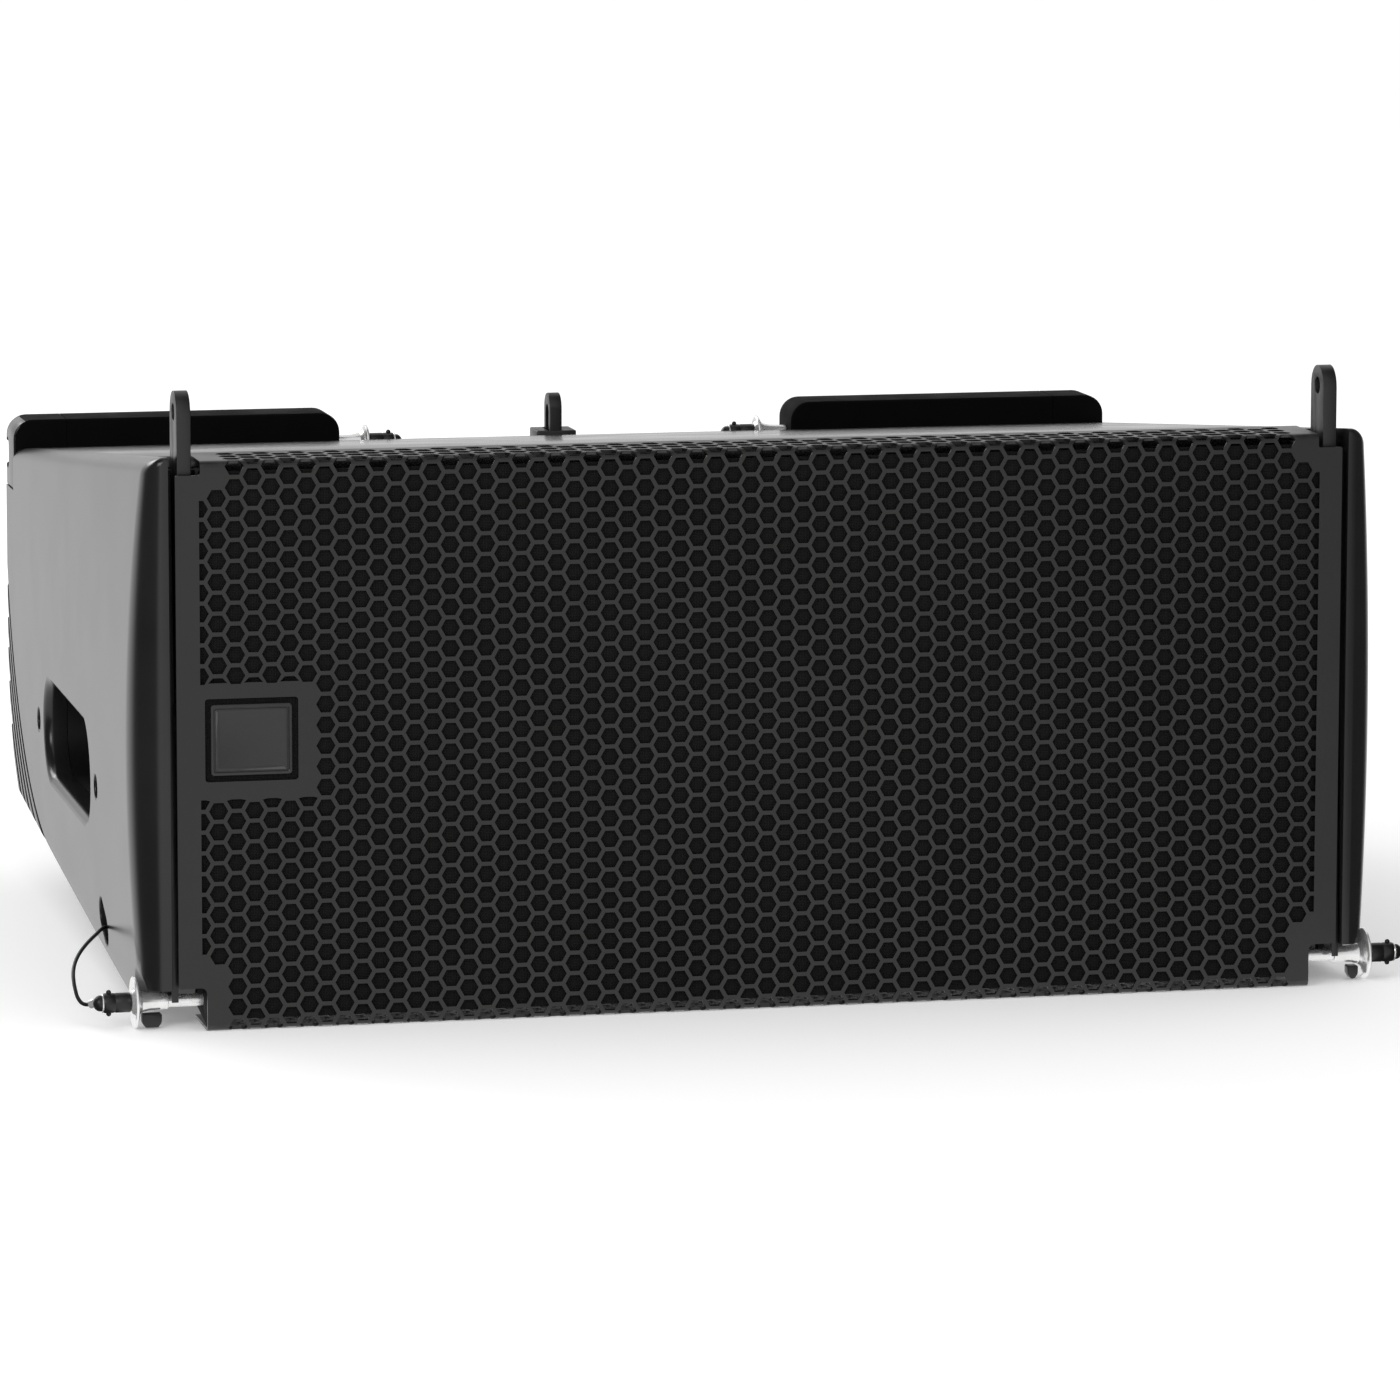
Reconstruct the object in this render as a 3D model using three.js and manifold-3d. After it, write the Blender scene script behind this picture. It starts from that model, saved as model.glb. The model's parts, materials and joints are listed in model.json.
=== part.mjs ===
// Compact two-way line array loudspeaker element.
// Millimetres. X runs across the front, Y runs from the grille into the cabinet, Z is up.
// The pieces are laid out with Y = 0 on the grille face and Z = 0 at its lower edge,
// and the last group moves the origin to the middle of the footprint.

import * as THREE from 'three';
import { mergeVertices } from 'three/addons/utils/BufferGeometryUtils.js';
import Module from 'manifold-3d';

const wasm = await Module();
wasm.setup();

// ---------------------------------------------------------------- driving dimensions

const gap = 0.3; // between pieces that touch
const arcSteps = 6; // segments in a quarter round

// Front
const grilleWidth = 555.8;
const grilleHeight = 264.3;
const grilleThickness = 1.5;
const grilleReturn = 36;
const grilleBend = 3;
const sideGap = 3.1; // open gap between the grille and each cheek
const linkNotchMargin = 3.4; // from the link's inner face to the edge of its notch
const linkNotchDepth = 6.4;
const earNotchHeight = 20.4;
const badgeFromEdge = 34.7; // from the grille's left edge to the middle of the badge
const badgeAboveMiddle = 3.35;
const badgeWidth = 37.8;
const badgeHeight = 33;
const badgeRecess = 5.5; // the opening in the grille is this much larger than the badge
const badgeFrontY = 0.2;

// Cabinet wedge
const cabinetDepth = 480;
const topAboveGrille = 2.3;
const bottomAboveGrille = 2.8;
const topSlope = 0.1038;
const bottomSlope = 0.0865;
const panelThickness = 14;
const wallThickness = 12;
const baffleY = 44;
const baffleThickness = 15;
const ledgeDepth = 28; // the step at the upper rear edge that carries the feet
const ledgeDrop = 18.8; // from the top panel's line at the rear down to the ledge
const ledgeThickness = 12;
const coverDrop = 58; // from the ledge down to the rear cover's upper edge
const coverThickness = 9;
const coverUpright = 20; // the rear cover is upright at first, and curves in below this
const coverTurn = 0.855; // angle that its curve turns through, in radians
const wallToCover = 1;

// Side cheeks
const cheekThickness = 17.5;
const cheekTaper = 0.0183;
const crownBelowMiddle = 6.15;
const crownFactor = 3.8e-4;
const cheekFrontFlat = 2;
const cheekRoundRatio = 1.6; // depth of the front round over its width
const cheekTopRadius = 9;
const cheekBottomRadius = 4;
const cheekNose = 6; // radius of the top edge where it meets the front
const cheekScoopZ = 19.5; // underside of the cheek over the front pin
const cheekScoopY = 37;
const louvreArcInset = 175; // the grooves' common centre, forward of the rear face
const louvreArcRise = 81; // and above the rear cover's upper edge
const louvreArcRadius = 190.5;
const louvrePitch = 7.4;
const louvreGroove = 3.7;
const louvreGrooveDepth = 3;
const louvreCount = 7;

// Handles
const handleLength = 173;
const handleHeight = 47;
const handleBehindMiddle = 4;
const handleAboveBottom = 71.1;
const handleDepth = 52;
const cupWall = 3;
const cheekScrewOffset = 22.5; // from the end of the handle to each screw
const cheekScrewRadius = 5;
const cheekScrewRecess = 5.5;
const lanyardSlotLength = 31;
const lanyardSlotHeight = 17;
const lanyardSlotY = 127;
const lanyardSlotZ = 30.5;
const lanyardSlotTilt = Math.PI / 6;

// Rigging
const wallPlate = 3.2; // plate thickness of the front rigging bracket
const bracketFrontY = 4.2;
const bracketWeb = 3;
const bracketTopDrop = 6.3; // from the grille's upper edge to the top of the bracket
const linkThickness = 6.5;
const linkDepth = 20;
const linkFrontY = 4.6;
const linkRise = 31.2; // how far the raised link stands above the grille
const linkLength = 145;
const linkEyeRadius = 4;
const linkEyeDrop = 9.8; // from the tip of the link to the middle of its eye
const linkClearance = 1.2; // to the outer plate
const linkInnerClearance = 5.1; // to the inner plate
const linkRearClearance = 2.6; // to the web
const linkGuideZ = 100;
const earRadius = 10.4;
const earClearance = 0.6; // over the grille's lower return
const rearLinkThickness = 6.4;
const rearLinkDepth = 15.4;
const rearLinkRise = 40; // how far the raised link stands above the ledge
const rearLinkLength = 98;
const rearLinkSlotWidth = 7.4;
const rearLinkSlotDrop = 6;
const rearLinkSlotLength = 46;
const rearBracketWidth = 21;
const rearBracketHeight = 111;
const rearBracketRise = 21; // above the ledge
const rearBracketWall = 1.6;
const rearLinkClearance = 0.4;
const footInnerX = 120;
const footHeight = 36;
const footRadius = 10;
const footPinHeight = 19; // from the ledge to the pin's axis
const footPinInset = 15; // from the rear edge to the pin's axis
const footBoreSpare = 2; // how far the pin's hole goes past its tip
const footRecessInset = 4; // from the rear edge to the recess in the foot's outer end
const footRecessRise = 14;
const footRecessLength = 16;
const footRecessWidth = 9;
const footRecessDepth = 6;

// Quick-release pins, measured outwards from the face that the collar rests on
const pinRadius = 2.9;
const pinBore = 0.35; // radial clearance of every pin hole
const pinReach = 21.6;
const collarLength = 14.4;
const collarSmall = 3.75;
const collarLarge = 5.3;
const flangeRadius = 12;
const rearFlangeRadius = 9;
const flangeThickness = 3;
const sleeveWall = 0.6;
const sleeveLength = 12.7;
const buttonRadius = 3.7;
const buttonHeight = 5.7;
const buttonSink = 1; // how far the button sits inside the sleeve at rest
const buttonBoreDepth = 4.2;

// Drivers
const wooferClearance = 5.7; // around the driver's flange
const flangeLand = 11; // width of the flange that rests on the baffle
const coneInset = 29; // from the flange's rim to the cone's
const surroundInset = 15; // from the flange's rim to the surround's
const coneDepth = 42;
const magnetRadius = 60;
const magnetThickness = 38;
const basketDepth = 74;
const coilPocketRadius = 31; // room in the magnet for the voice coil
const coilPocketDepth = 20;
const ventRadius = 12;
const hornHalfWidth = 45;
const hornClearance = 10; // above and below the horn's mouth
const hornWall = 4;
const hornDepth = 112;
const throatRadius = 13;
const hornDriverRadius = 48;
const hornDriverLength = 54;
const hornLip = 14; // depth of the straight mouth before the horn closes in
const hornThroatFlange = 6;
const crossoverY = 300;
const boardHalfLength = 90;
const boardHalfWidth = 45;
const boardThickness = 2.4;
const coilRadius = 19;
const smallCoilRadius = 14;

// Rear panel
const connectorPlateX = 116;
const connectorPlateWidth = 132;
const connectorPlateHeight = 38;
const connectorRadius = 13;
const connectorSpacing = 52;
const connectorDepth = 23.4;
const connectorWall = 1.6;
const socketDepth = 17.4;
const socketCoreRadius = 4.4;
const connectorPlateThickness = 2;
const connectorPlateInset = 1.6; // from the rear face in to the plate

// ---------------------------------------------------------------- derived places

const halfGrille = grilleWidth / 2;
const cheekInnerX = halfGrille + sideGap;
const panelHalfWidth = cheekInnerX - 0.6;
const rearY = cabinetDepth - 2;
const wallOuterX = panelHalfWidth;
const wallInnerX = wallOuterX - wallThickness;
const earOuterX = cheekInnerX - 0.4;
const plateX = earOuterX - wallPlate; // inner face of the bracket's outer plate
const linkOuterX = plateX - linkClearance;
const linkInnerX = linkOuterX - linkThickness;
const innerEarOuterX = linkInnerX - linkInnerClearance;
const innerEarInnerX = innerEarOuterX - wallPlate;
const bracketRearY = linkFrontY + linkDepth + linkRearClearance + bracketWeb;
const bracketTopZ = grilleHeight - bracketTopDrop;
const linkTopZ = grilleHeight + linkRise;
const pinY = linkFrontY + linkDepth / 2;
const pinZ = grilleThickness + earClearance + earRadius;
const linkNotchWidth = halfGrille - linkInnerX + linkNotchMargin;
const earNotchWidth = halfGrille - innerEarOuterX;
const badgeX = badgeFromEdge - halfGrille;
const badgeZ = grilleHeight / 2 + badgeAboveMiddle;
const rearLinkFrontY = rearY + gap + rearBracketWall + rearLinkClearance;
const rearBracketDepth = rearLinkDepth + 2 * rearBracketWall + 2 * rearLinkClearance;
const overallDepth = rearY + gap + rearBracketDepth;
const sleeveRadius = buttonRadius + gap + sleeveWall;

function topZ(y) {
  return grilleHeight + topAboveGrille - y * topSlope;
}

function bottomZ(y) {
  return bottomAboveGrille + y * bottomSlope;
}

const crownCentreZ = grilleHeight / 2 - crownBelowMiddle;
const topPanelEndY = cabinetDepth - ledgeDepth;
const ledgeZ = topZ(cabinetDepth) - ledgeDrop;
const coverTopZ = ledgeZ - coverDrop;
const handleY = cabinetDepth / 2 + handleBehindMiddle;
const handleZ = bottomZ(handleY) + handleAboveBottom;
const footTopZ = ledgeZ + footHeight;
const rearPinY = cabinetDepth - footPinInset;
const rearPinZ = ledgeZ + footPinHeight;
const rearLinkTopZ = ledgeZ + rearLinkRise;
const rearBracketTopZ = ledgeZ + rearBracketRise;
const louvreArcY = rearY - louvreArcInset;
const louvreArcZ = coverTopZ + louvreArcRise;

// The rear face is upright above this height. Below it an arc turns it in to the underside.
const rearArcZ = coverTopZ - coverUpright;
const arcInset = Math.tan(coverTurn / 2); // how far the arc comes in, over its height
const rearArcHeight = (rearArcZ - bottomZ(rearY)) / (1 - bottomSlope * arcInset);
const rearArcRadius = rearArcHeight / Math.sin(coverTurn);
const coverLowZ = rearArcZ - rearArcHeight;

// The space behind the grille that the drivers share.
const insideBottom = (y) => bottomZ(y) + panelThickness + gap;
const insideTop = (y) => topZ(y) - panelThickness - gap;
const baffleBackY = baffleY + baffleThickness;
const baffleLowZ = insideBottom(baffleBackY);
const baffleHighZ = insideTop(baffleBackY);
const frontMiddleZ = (baffleLowZ + baffleHighZ) / 2;
const halfFreeHeight = (baffleHighZ - baffleLowZ) / 2;
const halfFreeWidth = (wallInnerX - hornHalfWidth - hornWall) / 2;
const wooferX = hornHalfWidth + hornWall + halfFreeWidth;
const wooferRadius = Math.min(halfFreeHeight, halfFreeWidth) - wooferClearance;
const wooferHoleRadius = wooferRadius - flangeLand;
const coneRadius = wooferRadius - coneInset;
const hornHalfHeight = halfFreeHeight - hornClearance - hornWall;

// ---------------------------------------------------------------- solids

function flipped(geometry) {
  const index = geometry.index.array;
  for (let i = 0; i < index.length; i += 3) {
    const first = index[i];
    index[i] = index[i + 1];
    index[i + 1] = first;
  }
  return geometry;
}

// Six times the enclosed volume, negative where the faces point in.
function signedVolume(geometry) {
  const p = geometry.attributes.position;
  const index = geometry.index.array;
  const [a, b, c] = [new THREE.Vector3(), new THREE.Vector3(), new THREE.Vector3()];
  let sum = 0;
  for (let i = 0; i < index.length; i += 3) {
    a.fromBufferAttribute(p, index[i]);
    b.fromBufferAttribute(p, index[i + 1]);
    c.fromBufferAttribute(p, index[i + 2]);
    sum += a.dot(b.cross(c));
  }
  return sum;
}

// Shares the vertices, drops triangles without area and turns the faces outwards.
function tidy(geometry) {
  const bare = geometry.clone();
  bare.deleteAttribute('normal');
  bare.deleteAttribute('uv');
  const merged = mergeVertices(bare, 1e-4);
  const index = merged.index.array;
  const kept = [];
  for (let i = 0; i < index.length; i += 3) {
    const [a, b, c] = [index[i], index[i + 1], index[i + 2]];
    if (a !== b && b !== c && c !== a) kept.push(a, b, c);
  }
  merged.setIndex(kept);
  return signedVolume(merged) < 0 ? flipped(merged) : merged;
}

function solid(geometry) {
  const merged = tidy(geometry);
  const mesh = new wasm.Mesh({
    numProp: 3,
    vertProperties: new Float32Array(merged.attributes.position.array),
    triVerts: new Uint32Array(merged.index.array),
  });
  return new wasm.Manifold(mesh);
}

function geometryOf(manifold) {
  const mesh = manifold.getMesh();
  const geometry = new THREE.BufferGeometry();
  const position = new THREE.BufferAttribute(new Float32Array(mesh.vertProperties), 3);
  geometry.setAttribute('position', position);
  geometry.setIndex(new THREE.BufferAttribute(new Uint32Array(mesh.triVerts), 1));
  return geometry;
}

function cut(body, ...tools) {
  let result = solid(body);
  for (const tool of tools) result = result.subtract(solid(tool));
  return geometryOf(result);
}

function join(...bodies) {
  let result = solid(bodies[0]);
  for (const body of bodies.slice(1)) result = result.add(solid(body));
  return geometryOf(result);
}

// Reflects a geometry in the plane X = 0.
function mirrored(geometry) {
  return tidy(geometry.clone().scale(-1, 1, 1));
}

function box(x0, x1, y0, y1, z0, z1) {
  const geometry = new THREE.BoxGeometry(x1 - x0, y1 - y0, z1 - z0);
  return geometry.translate((x0 + x1) / 2, (y0 + y1) / 2, (z0 + z1) / 2);
}

function shapeOf(points, holes = []) {
  const shape = new THREE.Shape(points.map(([u, v]) => new THREE.Vector2(u, v)));
  for (const hole of holes) shape.holes.push(new THREE.Path(hole.map(([u, v]) => new THREE.Vector2(u, v))));
  return shape;
}

function slab(points, depth, holes) {
  return new THREE.ExtrudeGeometry(shapeOf(points, holes), { depth, bevelEnabled: false, steps: 1 });
}

// An outline in (Y, Z) extruded from x0 to x1.
function alongX(points, x0, x1, holes) {
  const turn = new THREE.Matrix4().set(0, 0, 1, x0, 1, 0, 0, 0, 0, 1, 0, 0, 0, 0, 0, 1);
  return slab(points, x1 - x0, holes).applyMatrix4(turn);
}

// An outline in (X, Z) extruded from y0 to y1.
function alongY(points, y0, y1, holes) {
  return slab(points, y1 - y0, holes).rotateX(Math.PI / 2).translate(0, y1, 0);
}

// An outline in (X, Y) extruded from z0 to z1.
function alongZ(points, z0, z1, holes) {
  return slab(points, z1 - z0, holes).translate(0, 0, z0);
}

function arc(u, v, radius, from, to, steps) {
  const points = [];
  for (let i = 0; i <= steps; i += 1) {
    const angle = from + ((to - from) * i) / steps;
    points.push([u + radius * Math.cos(angle), v + radius * Math.sin(angle)]);
  }
  return points;
}

function circle(u, v, radius, steps = 16) {
  return arc(u, v, radius, 0, 2 * Math.PI, steps).slice(0, steps);
}

// A slot with round ends, as long and as high as stated, turned by tilt.
function stadium(u, v, length, height, tilt = 0, steps = 2 * arcSteps) {
  const radius = height / 2;
  const half = length / 2 - radius;
  const outline = [
    ...arc(half, 0, radius, -Math.PI / 2, Math.PI / 2, steps),
    ...arc(-half, 0, radius, Math.PI / 2, (3 * Math.PI) / 2, steps),
  ];
  const c = Math.cos(tilt);
  const s = Math.sin(tilt);
  return outline.map(([a, b]) => [u + a * c - b * s, v + a * s + b * c]);
}

function rectangle(u0, u1, v0, v1) {
  return [[u0, v0], [u1, v0], [u1, v1], [u0, v1]];
}

function roundedBox(u0, u1, v0, v1, radii) {
  const [lowLeft, lowRight, highRight, highLeft] = radii;
  const quarter = Math.PI / 2;
  return [
    ...arc(u0 + lowLeft, v0 + lowLeft, lowLeft, 2 * quarter, 3 * quarter, arcSteps),
    ...arc(u1 - lowRight, v0 + lowRight, lowRight, 3 * quarter, 4 * quarter, arcSteps),
    ...arc(u1 - highRight, v1 - highRight, highRight, 0, quarter, arcSteps),
    ...arc(u0 + highLeft, v1 - highLeft, highLeft, quarter, 2 * quarter, arcSteps),
  ];
}

// A profile of [distance along X, radius] pairs turned about the X axis.
function turnedX(profile, segments = 16) {
  const points = profile.map(([along, radius]) => new THREE.Vector2(radius, along));
  return new THREE.LatheGeometry(points, segments).rotateZ(-Math.PI / 2);
}

// A profile of [distance along Y, radius] pairs turned about the Y axis.
function turnedY(profile, segments = 24) {
  const points = profile.map(([along, radius]) => new THREE.Vector2(radius, along));
  return new THREE.LatheGeometry(points, segments);
}

// Closes a row of rings, each with the same number of points, into one body.
function loft(rings) {
  const count = rings[0].length;
  const position = rings.flat(2);
  const index = [];
  for (let r = 0; r + 1 < rings.length; r += 1) {
    for (let i = 0; i < count; i += 1) {
      const a = r * count + i;
      const b = r * count + ((i + 1) % count);
      index.push(a, b, a + count, b, b + count, a + count);
    }
  }
  const last = (rings.length - 1) * count;
  for (let i = 1; i + 1 < count; i += 1) {
    index.push(0, i + 1, i);
    index.push(last, last + i, last + i + 1);
  }
  const geometry = new THREE.BufferGeometry();
  geometry.setAttribute('position', new THREE.Float32BufferAttribute(position, 3));
  geometry.setIndex(index);
  return geometry;
}

// ---------------------------------------------------------------- materials

function finish(color, roughness, metalness = 0) {
  return new THREE.MeshStandardMaterial({ color, roughness, metalness });
}

const materials = {
  cabinet: finish(0x17171a, 0.45),
  cheek: finish(0x1b1b1d, 0.38),
  grille: finish(0x3a3a38, 0.6, 0.3),
  foam: finish(0x111111, 0.95),
  badge: finish(0x2a2b2c, 0.4, 0.2),
  rigging: finish(0x2b2a29, 0.5, 0.5),
  steel: finish(0xd9d9d9, 0.2, 1),
  grip: finish(0x151515, 0.5),
  rubber: finish(0x0b0b0b, 0.6),
  cone: finish(0x1d1d1f, 0.8),
  magnet: finish(0x505255, 0.4, 0.8),
  plywood: finish(0x9a7748, 0.7),
  board: finish(0x1f5a3a, 0.5),
  guide: finish(0x303030, 0.5),
  screw: finish(0x101010, 0.4, 0.6),
};

const speaker = new THREE.Group();
const layout = new THREE.Group();
speaker.add(layout);

function add(name, geometry, material, parent = layout) {
  const body = tidy(geometry);
  body.computeVertexNormals();
  const mesh = new THREE.Mesh(body, materials[material]);
  mesh.name = name;
  parent.add(mesh);
  return mesh;
}

const sides = [['left', -1], ['right', 1]];

// Adds a piece made for the right-hand side and its reflection on the left.
function addPair(stem, geometry, material) {
  add(`${stem}_right`, geometry, material);
  add(`${stem}_left`, mirrored(geometry), material);
}

// ---------------------------------------------------------------- side cheeks

// Half width of the cheek's outer face before its front round.
function cheekOuterX(y, z) {
  const crown = crownFactor * (z - crownCentreZ) ** 2 * (1 - y / cabinetDepth);
  return cheekInnerX + cheekThickness - cheekTaper * y - crown;
}

// Half width of the cheek's surface at any depth, front round included.
function cheekSurfaceX(y, z) {
  const full = cheekOuterX(y, z);
  const width = full - cheekInnerX - cheekFrontFlat;
  const depth = width * cheekRoundRatio;
  if (y >= depth) return full;
  return cheekInnerX + cheekFrontFlat + width * Math.sqrt(1 - (1 - y / depth) ** 2);
}

// Outline of the cheek's cross-section at one depth. Both outer edges are rounded.
function cheekRing(y) {
  const drop = y < cheekNose ? cheekNose * (1 - Math.sqrt(1 - (1 - y / cheekNose) ** 2)) : 0;
  const high = topZ(y) - drop;
  const low = bottomZ(y);
  const lowRadius = Math.min(cheekBottomRadius, (cheekSurfaceX(y, low) - cheekInnerX) * 0.8);
  const highRadius = Math.min(cheekTopRadius, (cheekSurfaceX(y, high) - cheekInnerX) * 0.8);
  const ring = [[cheekInnerX, y, high], [cheekInnerX, y, low]];
  const cornerSteps = 4;
  for (let i = 0; i <= cornerSteps; i += 1) {
    const angle = (Math.PI / 2) * (i / cornerSteps);
    const z = low + lowRadius * (1 - Math.cos(angle));
    ring.push([cheekSurfaceX(y, z) - lowRadius * (1 - Math.sin(angle)), y, z]);
  }
  const faceSteps = 5;
  for (let i = 1; i < faceSteps; i += 1) {
    const z = low + lowRadius + ((high - highRadius - low - lowRadius) * i) / faceSteps;
    ring.push([cheekSurfaceX(y, z), y, z]);
  }
  for (let i = 0; i <= cornerSteps; i += 1) {
    const angle = (Math.PI / 2) * (i / cornerSteps);
    const z = high - highRadius * (1 - Math.sin(angle));
    ring.push([cheekSurfaceX(y, z) - highRadius * (1 - Math.cos(angle)), y, z]);
  }
  return ring;
}

// Outline of the rear face, from a height up to another, at a distance inside it.
function rearCurve(fromZ, toZ, edgeY, inset, steps) {
  const points = [];
  for (let i = 0; i <= steps; i += 1) {
    const z = fromZ + ((toZ - fromZ) * i) / steps;
    const below = Math.max(0, rearArcZ - z);
    const reach = rearArcRadius - inset;
    points.push([edgeY - rearArcRadius + Math.sqrt(Math.max(0, reach ** 2 - below ** 2)), z]);
  }
  return points;
}

const cheekScrews = [
  ['front', handleY - handleLength / 2 - cheekScrewOffset],
  ['rear', handleY + handleLength / 2 + cheekScrewOffset],
];
const cheekScrewZ = handleZ - 1;

function makeCheek() {
  const stations = [0.4, 1.5, 3, 5, 8, 12, 17, 23, 30, 60, 180, 330, cabinetDepth + 1];
  const body = loft(stations.map(cheekRing));
  const farX = cheekInnerX + cheekThickness + 20;
  const nearX = cheekInnerX - 20;
  const farY = cabinetDepth + 100;
  const rearCut = alongX(
    [
      ...rearCurve(coverLowZ - 20, rearArcZ, cabinetDepth, 0, 8),
      [cabinetDepth, linkTopZ],
      [farY, linkTopZ],
      [farY, coverLowZ - 20],
    ],
    nearX,
    farX,
  );
  const footCut = box(nearX, farX, topPanelEndY, farY, ledgeZ, linkTopZ);
  const scoop = alongX(
    [
      [-20, -20],
      [cheekScoopY + 14, -20],
      [cheekScoopY, cheekScoopZ - 9],
      ...arc(cheekScoopY - 8, cheekScoopZ - 8, 8, 0, Math.PI / 2, arcSteps),
      [-20, cheekScoopZ],
    ],
    nearX,
    farX,
  );
  const flangeRelief = turnedX(
    [[0, 0], [0, flangeRadius + 1.5], [20, flangeRadius + 1.5], [20, 0]],
    24,
  ).translate(earOuterX + 11.5, pinY, pinZ);
  const handle = alongX(stadium(handleY, handleZ, handleLength, handleHeight), nearX, farX);
  const lanyardSlot = alongX(
    stadium(lanyardSlotY, lanyardSlotZ, lanyardSlotLength, lanyardSlotHeight, lanyardSlotTilt, arcSteps),
    nearX,
    farX,
  );
  const tools = [rearCut, footCut, scoop, flangeRelief, handle, lanyardSlot];
  for (const [, y] of cheekScrews) {
    const face = cheekOuterX(y, cheekScrewZ);
    tools.push(alongX(circle(y, cheekScrewZ, cheekScrewRadius + 1), face - cheekScrewRecess, farX));
  }
  for (let n = 0; n < louvreCount; n += 1) {
    const radius = louvreArcRadius + n * louvrePitch;
    const outer = arc(louvreArcY, louvreArcZ, radius + louvreGroove / 2, -1.5, -0.3, 12);
    const inner = arc(louvreArcY, louvreArcZ, radius - louvreGroove / 2, -0.3, -1.5, 12);
    const grooveFloor = cheekOuterX(rearY, coverTopZ) - louvreGrooveDepth;
    tools.push(alongX([...outer, ...inner], grooveFloor, farX));
  }
  return cut(body, ...tools);
}

addPair('cheek', makeCheek(), 'cheek');

for (const [end, y] of cheekScrews) {
  const floor = cheekOuterX(y, cheekScrewZ) - cheekScrewRecess + gap;
  const r = cheekScrewRadius;
  const socket = r * 0.48;
  const head = [[0, 0], [0, r], [2, r], [3, r * 0.72], [3, socket], [1.4, socket], [1.4, 0]];
  addPair(`cheek_screw_${end}`, turnedX(head, 12).translate(floor, y, cheekScrewZ), 'screw');
}

// ---------------------------------------------------------------- cabinet

const panelFrontY = grilleReturn + 1.5;

function wedgePanel(surface, thickness, y0, y1) {
  return alongX(
    [[y0, surface(y0)], [y1, surface(y1)], [y1, surface(y1) + thickness], [y0, surface(y0) + thickness]],
    -panelHalfWidth,
    panelHalfWidth,
  );
}

// The curved rear cover takes over from the bottom panel here.
const bottomPanelEndY = rearCurve(coverLowZ, rearArcZ, rearY, coverThickness, 1)[0][0] - gap;

add('cabinet_bottom', wedgePanel(bottomZ, panelThickness, panelFrontY, bottomPanelEndY), 'cabinet');
add(
  'cabinet_top',
  wedgePanel((y) => topZ(y) - panelThickness, panelThickness, panelFrontY, topPanelEndY),
  'cabinet',
);

const stepFrontY = topPanelEndY - wallThickness;

// The wall ends inside the curved cover and in front of the step.
function makeWall() {
  const rear = stepFrontY - gap;
  const lowRearZ = insideBottom(bottomPanelEndY);
  const coverInside = rearCurve(lowRearZ, rearArcZ, rearY, coverThickness + wallToCover, 6);
  const outline = [
    [baffleY, insideBottom(baffleY)],
    [bottomPanelEndY, lowRearZ],
    ...coverInside.map(([y, z]) => [Math.min(y, rear), z]),
    [rear, insideTop(rear)],
    [baffleY, insideTop(baffleY)],
  ];
  const cupHole = stadium(handleY, handleZ, handleLength + 2 * cupWall + 1, handleHeight + 2 * cupWall + 1);
  const wall = alongX(outline, wallInnerX, wallOuterX, [cupHole]);
  const slot = alongX(
    stadium(lanyardSlotY, lanyardSlotZ, lanyardSlotLength, lanyardSlotHeight, lanyardSlotTilt, arcSteps),
    wallInnerX - 1,
    wallOuterX + 1,
  );
  return cut(wall, slot);
}

addPair('cabinet_wall', makeWall(), 'plywood');

function makeBaffle() {
  const half = wallInnerX - gap;
  const outline = rectangle(-half, half, baffleLowZ, baffleHighZ);
  const slotX = hornHalfWidth + hornWall + gap;
  const slotZ = hornHalfHeight + hornWall + gap;
  const hornSlot = rectangle(-slotX, slotX, frontMiddleZ - slotZ, frontMiddleZ + slotZ);
  const holes = [
    circle(-wooferX, frontMiddleZ, wooferHoleRadius, 28),
    circle(wooferX, frontMiddleZ, wooferHoleRadius, 28),
    hornSlot,
  ];
  return alongY(outline, baffleY, baffleBackY, holes);
}

add('baffle', makeBaffle(), 'plywood');

// The step behind the top panel carries the feet and leaves room for the rear pins.
function makeRearStep() {
  const floor = ledgeZ - ledgeThickness;
  const legTop = insideTop(topPanelEndY);
  return alongX(
    [
      [stepFrontY, floor],
      [rearY, floor],
      [rearY, ledgeZ],
      [topPanelEndY, ledgeZ],
      [topPanelEndY, legTop],
      [stepFrontY, legTop],
    ],
    -panelHalfWidth,
    panelHalfWidth,
  );
}

add('rear_step', makeRearStep(), 'cabinet');

function makeRearPanel() {
  const low = coverTopZ + gap;
  const high = ledgeZ - ledgeThickness - gap;
  const outline = rectangle(-panelHalfWidth, panelHalfWidth, low, high);
  const middle = (low + high) / 2;
  const w = connectorPlateWidth / 2 + gap;
  const h = connectorPlateHeight / 2 + gap;
  const panel = alongY(outline, rearY - wallThickness, rearY);
  const recessY = rearY - connectorPlateInset - connectorPlateThickness - gap;
  const recess = box(connectorPlateX - w, connectorPlateX + w, recessY, rearY + 1, middle - h, middle + h);
  const ledgeX = 8; // width of the plate's seat at each end
  const ledgeHeight = 4; // and along its edges
  const window = box(
    connectorPlateX - w + ledgeX,
    connectorPlateX + w - ledgeX,
    rearY - wallThickness - 1,
    rearY,
    middle - h + ledgeHeight,
    middle + h - ledgeHeight,
  );
  return cut(panel, recess, window);
}

add('rear_panel', makeRearPanel(), 'cabinet');

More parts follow.
